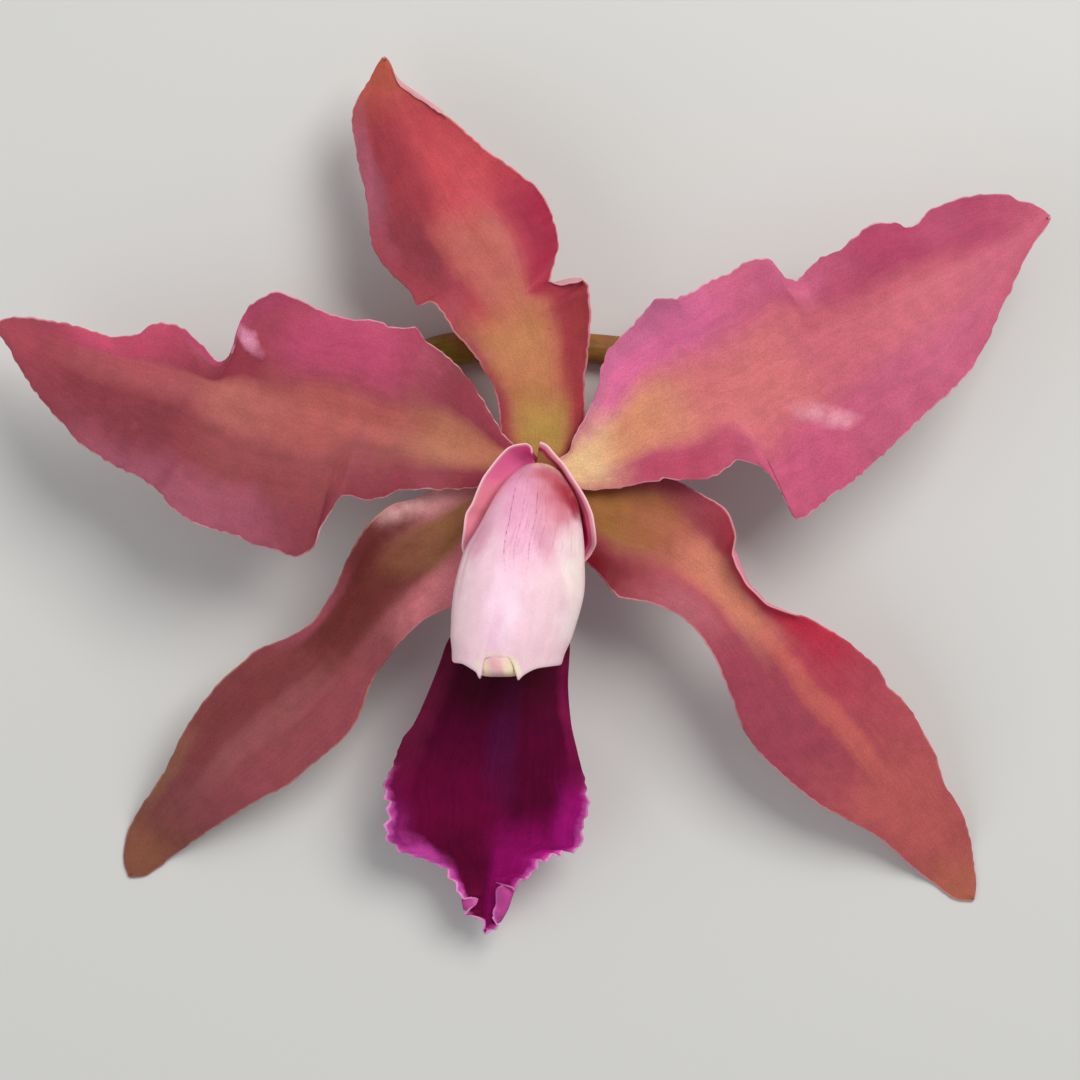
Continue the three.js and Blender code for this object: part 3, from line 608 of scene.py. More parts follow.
def tissue(name, base, bands=(), glazes=(), rims=(), rim_start=-1.0, under="#D890A0",
           streaks=0.035, mottle=0.05, fine=0.09, gloss=0.48, shine=0.12, blush=0.08, late=None):
    """Petal tissue: bands along the blade and soft patches over a base colour, with a pale rim."""
    f = Finish(name)
    drawn, place = f.drawn, f.blade
    for lumps, push, blade_push in WARPS:
        warp = f.vector("SUBTRACT", f.noise(lumps, output="Color"), (0.5, 0.5, 0.5))
        drawn = f.vector("ADD", drawn, f.vector("SCALE", warp, Scale=push))
        place = f.vector("ADD", place, f.vector("SCALE", warp, Scale=blade_push))
    along, across, _ = f.parts(place)
    across = across * 2 - 1

    shade = colour(base)
    for band in bands:
        shade = f.band(shade, along, across, *band)
    for glaze in glazes:
        shade = f.glaze(shade, drawn, *glaze)

    streak = f.noise(1.0, 4.0, at=f.vector("MULTIPLY", place, STREAK_LUMPS))
    grain = f.noise(GRAIN_LUMPS)
    flush = f.spread(f.noise(BLUSH_LUMPS, 5.0), 0.48, 0.72, 0.0, blush)
    shade = f.over(shade, BLUSH, flush * f.upper)
    shade = f.shaded(shade, f.spread(streak, 0.3, 0.7), streaks)
    shade = f.shaded(shade, f.spread(f.noise(MOTTLE_LUMPS, 3.0), 0.3, 0.7), mottle)
    shade = f.shaded(shade, f.spread(grain, 0.25, 0.75), fine)
    shade = f.mix(f.upper, f.over(shade, under, 0.6), shade)

    # Pale lines along the edges: partly the margins' own colour, partly painted highlight where an edge
    # catches the light.
    ragged = f.noise(1.3)
    here = f.spread(along, rim_start, rim_start + 0.15) * f.spread(f.noise(0.14, 1.0), 0.3, 0.6)
    for tint, width, strength in rims:
        near = f.spread(f.edge + (ragged - 0.5) * width, width, width * 0.25, 0.0, strength)
        shade = f.over(shade, tint, near * here)
    if late:
        shade = late(f, shade)

    cells = f.node("ShaderNodeTexVoronoi", None, {"Vector": f.place, "Scale": CELLS}, "Distance")
    relief = streak * 0.45 + cells * 0.25 + grain * 0.2
    bump = {"Height": relief, "Strength": 0.3, "Distance": 0.1 * MM}
    roughness = f.spread(grain, 0.2, 0.8, gloss - 0.06, gloss + 0.08)
    return f.finished(
        shade, roughness, f.node("ShaderNodeBump", None, bump), Specular_IOR_Level=shine,
        Subsurface_Weight=0.1, Subsurface_Radius=(1.0, 0.35, 0.3), Subsurface_Scale=0.5 * MM,
    )


def fine_teeth(depth, seed):
    """The small uneven crenels of a petal's margin."""
    return lambda lengths, rows: depth * wander(lengths, 0.55, seed)


# ---------------------------------------------------------------------------------------- pieces


def dorsal_sepal():
    """The sepal that points up. It is twisted: its right margin folds over halfway to the tip."""
    bands = [
        ("#C04A52", 0.4, 0.9, 0.5, 0.8, 0.9),
        ("#9C404C", -0.82, 0.66, 0.46, 0.63),
        ("#983842", -0.5, 0.6, 0.6, 0.88, 0.8),
        ("#A2586A", -1.0, 0.4, 0.62, 0.92, 0.8),
        ("#923844", -1.0, 0.45, 0.08, 0.42, 0.9),
        ("#9C383E", 0.95, 0.62, -0.2, 0.34, 0.95),
        ("#B8645A", 0.02, 0.52, 0.34, 0.58, 0.95),
        # painted shade: darker where the left half turns away from the light
        ("#70303A", -0.6, 0.26, 0.5, 0.66, 0.45),
        ("#BE8056", -0.22, 0.85, 0.16, 0.36, 0.95),
        # crimson along the right margin: partly its own colour, partly painted shade where the sheet
        # turns away from the light
        ("#9C2440", 0.95, 0.7, 0.35, 0.6),
        ("#AE8A48", -0.05, 0.88, -0.2, 0.15),
        ("#AA5440", -0.1, 1.5, 0.9, 1.3, 0.9),
    ]
    finish = tissue("dorsal tissue", "#AE444C", bands, rims=[("#E8A8AA", 0.22, 0.6)], under="#F0C0C4")
    rib = [
        [0.1, 0.8, 12.3], [0, 7.5, 12.6], [-1.7, 14.1, 13.2], [-4.4, 19.6, 14], [-8.3, 25.6, 14.2],
        [-12.7, 32.8, 13.4], [-16, 39.4, 11.6], [-17.7, 45.3, 9.2],
    ]
    left = [
        [-1.7, 0.8, 0], [-3.9, 1.7, 0], [-4.9, 4.4, 0], [-5.2, 7.4, 0.3], [-7.4, 12, 1],
        [-10.1, 15.2, 0.8], [-11.7, 17.6, 0.5], [-12.8, 18.3, 0.1], [-13.8, 17.8, -0.4],
        [-14.6, 19.2, -0.9], [-17.4, 22, -1.6], [-19, 24.8, -2], [-19.6, 29.7, -2.2],
        [-20.6, 34.1, -1.8], [-21.2, 38.4, -1], [-20.4, 41, -0.5], [-19.4, 42.5, -0.2],
    ]
    right = [
        [2.1, 0.8, 0], [3.7, 2.2, 0], [4.5, 4.6, 0], [4.5, 7, 0.2], [4.4, 9.1, 0.6], [4.8, 13, 1.4],
        [5.1, 17, 2.2], [4.9, 19.6, 2.8], [4.7, 20.9, 2.7], [3.2, 20.8, 1.7], [1.7, 20.4, 0.6],
        [0.6, 20.3, -0.5], [0.8, 21.6, -1.4], [1.2, 23, -1.8], [1.5, 24.5, -2], [1, 27.3, -2],
        [-0.5, 30.5, -1.4], [-3.3, 32.8, -0.6], [-6.4, 35.1, 0.2], [-9.2, 37.5, 0.6],
        [-11.7, 39.6, 0.6], [-14.7, 41.7, 0.4], [-16.1, 42.8, 0.2],
    ]
    blade(
        "dorsal_sepal", finish, rib, left, right, arch=-0.3, groove=0.2, seed=11,
        teeth=fine_teeth(0.08, 12), ruffle=(0.2, 5),
        curls=[
            curl("right", (-10.0, 38.2), (-17.4, 44.3), 2.9, 0.13, 0.6),
            curl("right", (4.9, 19.8), (0.6, 20.8), 2.4, 0.25, 0.9),
        ],
        creases=[((-18.9, 37.5), (-18.7, 30.5), 0.7, -0.25)],
    )


def left_petal():
    """The broad petal on the left, with a deep notch in its upper margin."""
    bands = [
        ("#944A4A", -0.3, 0.5, 0.12, 0.62, 0.8),
        ("#9A4652", 0.45, 0.6, 0.25, 0.55, 0.8),
        ("#B84A6A", 0.95, 0.75, 0.25, 0.5, 0.95),
        ("#C44E6A", 0.8, 1.0, 0.66, 0.88, 0.95),
        ("#A4586A", -1.0, 0.46, 0.42, 0.8, 0.85),
        ("#823840", -0.5, 0.45, 0.64, 0.8, 0.8),
        ("#B04C5A", 0.0, 1.5, 0.88, 1.3, 0.9),
        ("#963646", 0.3, 0.4, 0.52, 0.62, 0.85),
        ("#C04878", 1.0, 0.3, 0.55, 0.64, 0.8),
        ("#8C3644", 0.95, 0.7, -0.2, 0.18, 0.9),
        ("#8A3844", -0.9, 0.6, 0.04, 0.28, 0.85),
        ("#AC5854", 0.0, 0.36, 0.2, 0.48),
        ("#B4665E", -0.06, 0.26, 0.48, 0.62, 0.9),
        ("#B05A5C", -0.05, 0.28, 0.6, 0.85, 0.6),
        ("#AE6E54", -0.05, 0.6, -0.2, 0.22, 0.95),
    ]
    # The left petal's colours are darker and browner than the right one's: partly painted shade, as
    # this side of the bloom lies away from the light.
    finish = tissue(
        "left petal tissue", "#8A3C46", bands,
        # the pale oval is a painted highlight on the fold at the notch
        glazes=[("#F2A0C0", (-32.4, 14.2), (0.95, 2.9), 34, 1.0, 0.1)], rims=[("#E8B0B8", 0.2, 0.6)],
        under="#D88AA0",
    )
    rib = [
        [-1.3, 0.2, 13.6], [-3.3, 0.9, 13.7], [-10.5, 3.1, 14.2], [-18.2, 4.7, 15.4], [-27, 6.9, 16.6],
        [-35.8, 9.1, 17], [-45.7, 11.7, 16], [-53.4, 13.9, 14.2], [-60.6, 15.7, 11.8],
    ]
    left = [
        [-1.5, -0.8, 0], [-4.6, -1.9, 0.1], [-7.4, -2.2, 0.3], [-11.6, -2.4, 0.6], [-16, -2.4, 1],
        [-17.8, -3.3, 0.4], [-19.3, -3.5, 0.4], [-22.4, -3.1, 1.6], [-23.3, -4.4, 1.9],
        [-24.5, -6.3, 1.2], [-25.4, -8.6, 0], [-26.6, -9.5, -0.6], [-27.6, -9.7, -1.1],
        [-29.4, -9.1, -1.5], [-31.6, -8.6, -1.2], [-33.6, -7.6, -0.4], [-36.3, -6.8, 0.5],
        [-39.1, -5.7, 0.9], [-41, -4.4, 0.6], [-42.6, -2.4, -0.3], [-44.6, -1.1, -0.8],
        [-47, 0.1, -0.4], [-49, 1.2, 0.3], [-51.2, 2.8, 0.5], [-53.4, 5.3, 0], [-55.6, 7.8, -0.5],
        [-57.8, 11.1, -0.5], [-59.6, 14.2, -0.2],
    ]
    right = [
        [-1.4, 1.3, 0], [-4.2, 3.3, 0.2], [-5.3, 5.1, 0.2], [-6.8, 7.6, 0.2], [-8.8, 10.5, 0],
        [-11, 12.5, -0.2], [-13.5, 14.5, -0.4], [-14.4, 15.6, 0.2], [-16.3, 15.5, 0.6],
        [-18.7, 16.2, 0.9], [-22, 16.5, 1.2], [-24.5, 17.3, 1.6], [-27.4, 18.8, 2], [-29.4, 19.4, 2.4],
        [-31.1, 18.8, 2.6], [-32.2, 18.1, 2.5], [-33, 17, 2.3], [-33.5, 15.8, 2], [-33.8, 14.5, 1.5],
        [-34.1, 13.3, 0.9], [-34.6, 12.3, 0.3], [-35.4, 11.7, -0.3], [-36.3, 11.9, -0.5],
        [-37.2, 13, -0.4], [-38.3, 14.2, 0], [-39.6, 15.3, 0.6], [-40.7, 15.8, 1.2], [-42.9, 16, 1.6],
        [-45, 14.6, 0.4], [-47.6, 14.5, -0.4], [-51.2, 15.6, 0.3], [-53.4, 16.1, 0.8],
        [-57.8, 16.7, 0.5], [-59.4, 16.5, 0.2],
    ]
    blade(
        "left_petal", finish, rib, left, right, arch=0.4, groove=0.25, seed=21,
        teeth=fine_teeth(0.14, 22), ruffle=(0.35, 4.5),
        creases=[
            ((-32.9, 15.4), (-31.2, 12.6), 0.6, 0.35), ((-45.4, 4.4), (-46.6, 0.6), 0.6, 0.4),
            ((-40.6, -0.4), (-42.4, -3.4), 0.6, 0.4), ((-30.4, -2.6), (-29.4, -8.4), 0.7, -0.3),
        ],
    )


def right_petal():
    """The broad petal on the right, which reaches up further than the left one."""
    bands = [
        ("#D46892", -0.9, 0.95, 0.08, 0.42),
        ("#B4688A", -1.0, 0.3, 0.04, 0.34, 0.5),
        ("#C46082", -0.85, 0.6, 0.42, 0.6, 0.85),
        ("#A84060", -0.65, 0.8, 0.62, 0.92, 0.9),
        ("#AC4860", -0.4, 0.35, 0.48, 0.66, 0.6),
        ("#BC5A7A", 0.85, 0.6, 0.5, 0.8, 0.7),
        ("#CC5C80", 0.95, 0.7, 0.34, 0.5, 0.9),
        ("#B44862", 0.95, 0.65, 0.12, 0.3, 0.95),
        ("#D07274", 0.0, 0.62, 0.2, 0.5, 0.95),
        ("#C86872", 0.08, 0.5, 0.5, 0.8, 0.6),
        ("#D28E6C", 0.0, 0.55, -0.2, 0.25, 0.95),
        ("#EECE9C", 0.05, 1.2, -0.2, 0.08),
    ]
    glazes = [
        ("#EAA8B4", (30.2, 6.2), (4.6, 1.4), -8, 0.75, 0.0),
        ("#EAA8B4", (32.2, 5.4), (3.4, 1.4), 8, 0.6, 0.0),
    ]
    finish = tissue(
        "right petal tissue", "#BC5A70", bands, glazes, rims=[("#F0C0C8", 0.2, 0.6)], under="#E090B0",
    )
    rib = [
        [1.3, -0.1, 13.6], [3.9, 0.5, 13.7], [10.5, 4.2, 14.4], [19.3, 8.6, 16], [28.1, 13.5, 17.6],
        [36.9, 17.9, 18], [45.7, 22.7, 16.6], [51.2, 25.5, 14.8], [55.7, 27.7, 13.2],
    ]
    left = [
        [1.4, 1, 0], [2.6, 1.8, 0.2], [3.4, 3.6, 0.3], [4.3, 5.4, 0.3], [5.2, 7.1, 0.3],
        [5.8, 9.1, 0.2], [6.5, 11.9, -0.1], [7.9, 14.1, -0.5], [9.6, 15.7, -0.6], [11.3, 17.5, 0],
        [12.2, 18.6, 0.8], [13.8, 18.6, 1.4], [16, 19.3, 1.6], [18.2, 20.6, 1.4], [20.4, 21.5, 1],
        [22.6, 22.9, 1.4], [24.8, 23.1, 2], [25.6, 22, 1.6], [26.3, 20.9, 0.8], [27.6, 20.7, -0.4],
        [28.9, 22, -0.8], [30.3, 23.1, -0.6], [32.5, 24, 0.3], [34.1, 25.4, 1], [36.3, 26.9, 1.6],
        [38.3, 27, 1.2], [39.9, 26.5, 0.3], [41, 27, -0.3], [42.7, 28.6, -0.4], [45.1, 29.6, 0.4],
        [47.9, 30.1, 1.1], [50.1, 30.3, 1.1], [52.3, 29.5, 0.6], [54.6, 28.9, 0.2],
    ]
    right = [
        [1.4, -1.2, 0], [5.5, -2.4, 0.3], [10.5, -1.8, 0.8], [13.9, -1.2, 1], [16, -1.4, 1.2],
        [18.2, -1.1, 1], [20.4, 0.3, 0.6], [21.5, 0.9, 0.4], [23.4, 0.4, 0.5], [24.8, -0.8, 0.4],
        [26.2, -2.8, -0.4], [27, -4.4, -1], [27.6, -5.6, -1.4], [28.4, -5.5, -1.5], [29.7, -4.6, -1.4],
        [32.2, -2.6, -0.9], [34.9, -0.7, -0.3], [38, 2.2, 0.3], [40.4, 4.5, 0.6], [42.6, 6.7, 0.4],
        [45.1, 8.8, 0], [46.8, 10.8, -0.2], [48.4, 13.2, 0], [49.7, 16.3, 0.3], [51.2, 19.3, 0.3],
        [52.6, 22.3, 0.2], [54, 24.9, 0],
    ]
    blade(
        "right_petal", finish, rib, left, right, arch=0.4, groove=0.25, seed=31,
        teeth=fine_teeth(0.14, 32), ruffle=(0.35, 4.5),
    )


def left_sepal():
    """The lower sepal on the left, which comes down to the surface at its tip."""
    bands = [
        ("#94464E", -0.75, 0.8, 0.42, 0.78, 0.9),
        ("#642A25", 0.35, 0.75, 0.21, 0.5, 0.95),
        # painted shade beside the keel, on its upper side
        ("#7E3A3C", 0.6, 0.7, 0.5, 0.75, 0.8),
        ("#9A4858", 1.0, 0.3, 0.3, 0.52, 0.7),
        # painted shade under the upper margin, where it bends over
        ("#58201E", 0.85, 0.35, 0.25, 0.34, 0.9),
        ("#906240", 0.0, 0.66, -0.2, 0.24),
        ("#E0848C", -0.95, 0.8, 0.06, 0.32),
        ("#D28E90", 0.95, 0.65, 0.08, 0.19),
        # painted highlight along the raised keel
        ("#A05A5C", -0.05, 0.3, 0.5, 0.78, 0.5),
        ("#8A5A46", 1.0, 0.45, 0.72, 0.9, 0.8),
        ("#82503A", 0.0, 1.5, 0.88, 1.3, 0.9),
    ]
    # The left sepal's colours are darker than the right one's: partly painted shade, as this side of
    # the bloom lies away from the light.
    finish = tissue(
        "left sepal tissue", "#824246", bands,
        # the pale oval is a painted sheen on the upper margin's shoulder, where it bends over towards
        # the light
        glazes=[("#D8A8A6", (-14.8, -4.0), (6.2, 2.0), 24, 0.95, 0.1)], rims=[("#C89080", 0.22, 0.5)],
        under="#B87A70", blush=0.03,
    )
    rib = [
        [-1, -1.2, 12.3], [-5, -3.5, 12.2], [-12.7, -9, 12], [-18.7, -15.6, 11.4], [-23.7, -21.7, 10.4],
        [-30.3, -27.7, 8.6], [-36.9, -34.3, 5.6], [-41, -38.9, 2.4], [-43.2, -41.6, 0.32],
        [-45.7, -45, 0.22],
    ]
    left = [
        [-0.6, -2.2, 0], [-4, -6, 0.2], [-7.2, -10.6, 0.6], [-10.2, -15.1, 1], [-13, -16.6, 1.4],
        [-14.5, -17.8, 1.5], [-16.1, -19.4, 1.5], [-17.3, -21, 1.4], [-18.5, -22.7, 1.2],
        [-19.4, -24.4, 1], [-20.1, -26.7, 0.8], [-21.2, -28.6, 0.6], [-22.7, -30.3, 0.5],
        [-24.8, -32, 0.5], [-28.2, -34.8, 0.7], [-31.8, -36.7, 0.8], [-36.1, -39.4, 0.7],
        [-40.3, -42.2, 0.3], [-42.4, -43.9, 0], [-44.2, -45, 0],
    ]
    right = [
        [-1.5, -0.1, 0], [-5, -0.1, 0], [-8.5, -0.6, 0], [-12, -2.2, 0.3], [-14.2, -3.3, 0.8],
        [-16.1, -3.7, 1.4], [-17.5, -4.5, 1.8], [-18.7, -5.4, 2], [-19.8, -6.6, 2], [-21.5, -9.6, 1.6],
        [-23.3, -13.5, 1], [-25.4, -16.7, 0.5], [-28.2, -18.6, 0.6], [-31.4, -19.8, 0.9],
        [-33.6, -21.6, 1.1], [-36.2, -24, 1.1], [-38.2, -26.6, 1], [-40.2, -29.9, 0.8],
        [-41.7, -33.2, 0.7], [-43.3, -35.6, 0.6], [-45.1, -38.4, 0.3], [-46.1, -41.1, 0],
        [-46.3, -43.2, 0],
    ]
    blade(
        "left_sepal", finish, rib, left, right, arch=0.3, groove=-0.25, seed=41,
        teeth=fine_teeth(0.07, 42), ruffle=(0.15, 6),
    )


def right_sepal():
    """The lower sepal on the right, whose upper margin curls towards the viewer near the heart."""
    bands = [
        ("#984052", 0.7, 0.9, 0.38, 0.8, 0.9),
        ("#B04050", -0.7, 0.7, 0.38, 0.6, 0.9),
        ("#96404C", -0.85, 0.7, 0.12, 0.3, 0.95),
        ("#B0606C", 0.9, 0.5, 0.25, 0.36, 0.9),
        ("#C66658", -0.05, 0.22, 0.38, 0.74, 0.6),
        # crimson inside the curled margin: partly its own colour, partly painted shade where the sheet
        # turns up away from the light
        ("#B82C42", -0.95, 0.58, 0.29, 0.52, 0.95),
        ("#CE8068", -0.03, 0.54, 0.22, 0.42),
        ("#9E6C38", -0.1, 0.72, -0.2, 0.19),
        ("#72081A", 0.95, 0.7, 0.02, 0.2),
        ("#BC605A", 0.0, 1.5, 0.7, 0.92, 0.7),
        ("#A46244", 0.0, 1.5, 0.93, 1.3, 0.9),
    ]
    finish = tissue(
        "right sepal tissue", "#AC4C56", bands, rims=[("#E8A8AC", 0.22, 0.6)], under="#E8A0B4",
    )
    rib = [
        [1, -1.2, 12.3], [5, -4.6, 12.2], [11.6, -6.8, 12.1], [18.2, -11.2, 12], [22, -15.6, 11.6],
        [27, -22.2, 10.4], [32.5, -28.8, 8.6], [38, -35.4, 5.7], [42.3, -41, 2.2], [44.6, -44.2, 0.32],
        [47.2, -47.6, 0.22],
    ]
    left = [
        [1.5, -0.1, 0], [5, 0, 0], [10, 0.2, 0], [13, -0.6, 0.2], [15.8, -2, 0.6], [17.4, -2.9, 1],
        [18.9, -3.7, 1.5], [20, -4.6, 2], [20.6, -5.6, 2.4], [21, -7, 2.7], [21.8, -9.8, 2.7],
        [22.3, -11.1, 2.5], [22.9, -12.4, 2.2], [23.9, -13.5, 1.8], [24.8, -14.6, 1.4],
        [26.1, -15.4, 1], [27.8, -16.2, 0.7], [29.7, -16.8, 0.6], [31.6, -17.9, 0.6],
        [33.4, -19.1, 0.7], [35.3, -20.7, 0.8], [36.9, -22.2, 0.8], [37.8, -24, 0.7],
        [39.1, -25.1, 0.8], [40.3, -26.6, 0.8], [41.6, -28.8, 0.7], [43.1, -31.6, 0.6],
        [43.9, -34.5, 0.5], [45.9, -37.7, 0.4], [46.5, -39.6, 0.3], [47, -41.8, 0.1], [47.5, -46, 0],
    ]
    right = [
        [0.6, -2.2, 0], [2.6, -6.5, 0.3], [4.4, -10.1, 0.9], [5.7, -11.4, 1.4], [6.5, -12.3, 1.8],
        [7.3, -13.4, 2], [8.4, -14.3, 2], [9.9, -14.5, 1.7], [11.8, -14.9, 1.3], [13.6, -15.6, 1.1],
        [15.2, -16.5, 1.1], [16.7, -17.9, 1.2], [17.9, -19.5, 1.2], [18.9, -21.3, 1.1],
        [19.7, -23.2, 1], [20.5, -25.1, 0.8], [21.8, -28.6, 0.6], [22.9, -30.4, 0.5],
        [25.7, -33.4, 0.6], [27.6, -35, 0.7], [30, -36.9, 0.8], [34.4, -39.3, 0.8], [36.9, -40.8, 0.6],
        [39.1, -42.7, 0.3], [41.3, -44.6, 0.1], [43.3, -46.1, 0], [45.2, -47.4, 0],
    ]
    blade(
        "right_sepal", finish, rib, left, right, arch=0.3, groove=-0.2, seed=51,
        teeth=fine_teeth(0.07, 52), ruffle=(0.15, 6),
        curls=[curl("left", (20.6, -6.4), (30.0, -17.2), 1.4, 0.8, 1.8)],
    )


def side_lobes(f, shade):
    """The lip's two side lobes, pink with pale rims, and the olive foot of the right one; their crimson
    beside the column is partly painted shade.
    """
    along, across, _ = f.parts(f.blade)
    lobe = f.spread(along, 0.27, 0.2)
    right = f.spread(across, 0.52, 0.48)
    deep = f.spread(along, 0.0, 0.08)
    left_pink = f.over(colour("#FF78C0"), "#F8A0B4", deep)
    # darker crimson away from the rim, next to the column: partly the trough's own colour, partly
    # painted shade
    left_pink = f.over(left_pink, "#BC3070", f.spread(f.edge, 1.8, 3.4) * deep)
    right_pink = colour("#F0A4B0")
    # the last and darkest tint, far from the rim, is partly painted shade on the inner face beside the
    # column
    for tint, start, full in (("#D04C84", 0.3, 0.6), ("#EC8C9C", 0.5, 0.9), ("#A81C50", 1.1, 1.6)):
        right_pink = f.over(right_pink, tint, f.spread(f.edge, start, full))
    # the slit between the right lobe and the column: crimson, partly painted shade
    slit = f.spread(along, 0.07, 0.12) * f.spread(f.edge, 0.65, 0.95)
    right_pink = f.over(right_pink, "#D81858", slit)
    pink = f.mix(right, left_pink, right_pink)
    foot = f.spread(along, 0.075, 0.045) * f.spread(f.edge, 0.7, 1.1) * right
    pink = f.over(pink, "#EAD484", foot)
    # pale rim along the lobes' edges: partly painted highlight
    pink = f.over(pink, "#F8C4CE", f.spread(f.edge, 0.22, 0.08))
    return f.mix(lobe, shade, pink)


def lip():
    """The lip: a trough with a side lobe on each side of the column, a neck and the fringed lobe."""
    bands = [
        # painted shadow on the lip just below the column's tip
        ("#420A1C", 0.0, 1.3, 0.3, 0.5),
        ("#8C1850", -1.0, 0.22, 0.42, 0.62, 0.6),
        ("#741A3C", 1.0, 0.3, 0.42, 0.66, 0.7),
        ("#4C1240", -0.05, 0.25, 0.5, 0.68, 0.6),
        ("#74063C", 0.4, 0.75, 0.66, 0.86, 0.6),
        ("#940C62", -0.45, 0.6, 0.77, 0.99, 0.95),
        ("#A61276", -1.0, 0.4, 0.68, 0.9, 0.95),
        ("#A02A80", 1.0, 0.3, 0.74, 0.9, 0.5),
        ("#B8308E", 1.0, 0.3, 0.82, 0.96, 0.7),
        ("#4A0622", 0.3, 0.4, 0.79, 0.87, 0.8),
        ("#760C3C", 0.3, 0.35, 0.9, 0.97, 0.9),
    ]
    finish = tissue(
        "lip tissue", "#56042C", bands,
        glazes=[("#D84AAE", (-13.2, -42.9), (4.6, 2.3), -35, 0.95, 0.25)],
        rims=[("#D458AC", 1.0, 0.9), ("#E8A4D4", 0.35, 0.8)], rim_start=0.62, under="#E060B0",
        streaks=0.07, mottle=0.06, blush=0.0, gloss=0.6, shine=0.05, late=side_lobes,
    )

    def shelf(share):  # the left half rises late, to a level rim
        return 0.25 * share**3 + 0.75 * smoothstep(0.66, 0.92, share)

    def steep(share):
        return share**3.2

    def teeth(lengths, rows):  # only round the middle lobe
        on_lobe = smoothstep(0.58, 0.7, rows) * (1 - smoothstep(0.93, 0.97, rows))
        return 0.62 * spikes(lengths, 1.5, 63) * on_lobe

    rib = [
        [-0.9, 1, 15.2], [-1.2, -3, 14.9], [-2.2, -8, 14.8], [-3, -13, 14.5], [-3.6, -18, 14],
        [-4.6, -26, 12.8], [-5.4, -34, 10.8], [-6, -41, 8.2], [-6.4, -47, 5.6], [-6.5, -51.3, 4],
    ]
    left = [
        [-0.5, 2.9, 4], [0.2, 2.6, 4.2], [1.2, 1.5, 4.6], [2.2, 0.4, 5], [3.1, -1, 5.4],
        [4.1, -2.5, 5.6], [4.8, -3.8, 5.4], [5.4, -5.5, 5.1], [5.7, -8.1, 4], [5.2, -9.4, 2.8],
        [3.6, -11.2, 1.5], [2, -13.2, 0.7], [1.6, -16, 0.4], [2.8, -19.3, 0.3], [2.6, -23.7, 0.1],
        [2.9, -27.8, -0.2], [3.6, -31.1, -0.4], [4.3, -34, 0], [4.8, -36.9, 0.5], [4.2, -39.4, 0],
        [4, -41.6, -0.8], [1.9, -42.1, -0.6], [0.7, -42.6, 0], [-0.8, -43.2, 0.6], [-1.4, -44.7, 1.1],
        [-2.9, -45.3, 1.4], [-3.4, -46.9, 1.4], [-3.8, -48.2, 1.2], [-4.5, -49.6, 0.9],
    ]
    right = [
        [-1.4, 1.7, 3.2], [-1.5, 2.3, 3.7], [-2.1, 2.7, 4], [-3, 2.6, 4.3], [-3.9, 2.3, 4.6],
        [-4.7, 1.6, 4.9], [-5.4, 0.8, 5.2], [-6.1, -0.1, 5.5], [-6.8, -1.1, 5.6], [-7.4, -2.4, 5.6],
        [-8, -3.9, 5.4], [-8.7, -5.2, 5.1], [-8.9, -6.8, 4.6], [-9.1, -8.5, 3.4], [-8.4, -10.6, 1.8],
        [-7.4, -13, 0.8], [-8, -16, 0.4], [-10.6, -18.9, 0.3], [-11.6, -21.6, 0.1], [-13, -25.1, -0.2],
        [-14.5, -28.3, -0.6], [-15.6, -29.7, -0.7], [-16.6, -32.6, -0.5], [-17.6, -34.9, 0.2],
        [-17, -37.4, 0.6], [-17.3, -40.2, 0], [-16.4, -41.6, -0.6], [-13.6, -42.8, -0.8],
        [-11.1, -43.9, 0], [-9.7, -46.1, 0.6], [-9.1, -47.9, 0.9], [-8.9, -49, 0.9], [-7.6, -49.4, 0.5],
        [-6.7, -49.8, 0.2],
    ]
    blade(
        "lip", finish, rib, left, right, rows=460, rise=(shelf, steep), rim_share=0.75, seed=61,
        teeth=teeth, ruffle=(0.35, 3.5), swell=(0.12, 5),
        curls=[
            curl("left", (-2.2, -45.0), (-5.8, -50.8), 2.9, 0.28, 2.9),
            curl("right", (-9.4, -46.8), (-8.8, -49.1), 2.6, 0.28, 1.6),
        ],
    )


# ---------------------------------------------------------------------------------------- column

COLUMN_SIDES = 224
COLUMN_RINGS = 90
COLUMN_LENGTH = 22  # mm, from the heart to its drawn rim
RIM_RUN = 5  # mm, over which its sections take up the line of the rim
WALL = 1.1
WIDEST = 0.4  # the share of its height at which a ring is widest
KEEL_INSET = 0.8  # how much of an inset its underside takes
CREASE_DEPTH = 0.13
CREASE_AT = -0.93  # of the half width, and the next one too
CREASE_WIDTH = 0.03
VEIN_WIDTH = 0.0027  # of the way round the column


def column_ring(section, inset=0.0, edge=None):
    """One ring round the column: an arched crown above the widest line and a flatter keel below,
    with a fine crease down its left flank."""
    x, y, half_width, keel, crown = section
    share, height = circle(COLUMN_SIDES).T
    widest = keel + (crown - keel) * WIDEST
    rise = np.where(height > 0, crown - inset - widest, widest - keel - inset * KEEL_INSET)
    depth = CREASE_DEPTH * smoothstep(-4, -8, y) * smoothstep(-17, -12, y)
    depth = depth * np.exp(-(((share - CREASE_AT) / CREASE_WIDTH) ** 2))
    level = widest + rise * height - np.where(height > 0, depth, 0)
    shift = (edge(share) if edge else 0 * share) * smoothstep(-0.1, 0.25, height)
    return np.stack([x + (half_width - inset) * share, y + shift, level], -1)


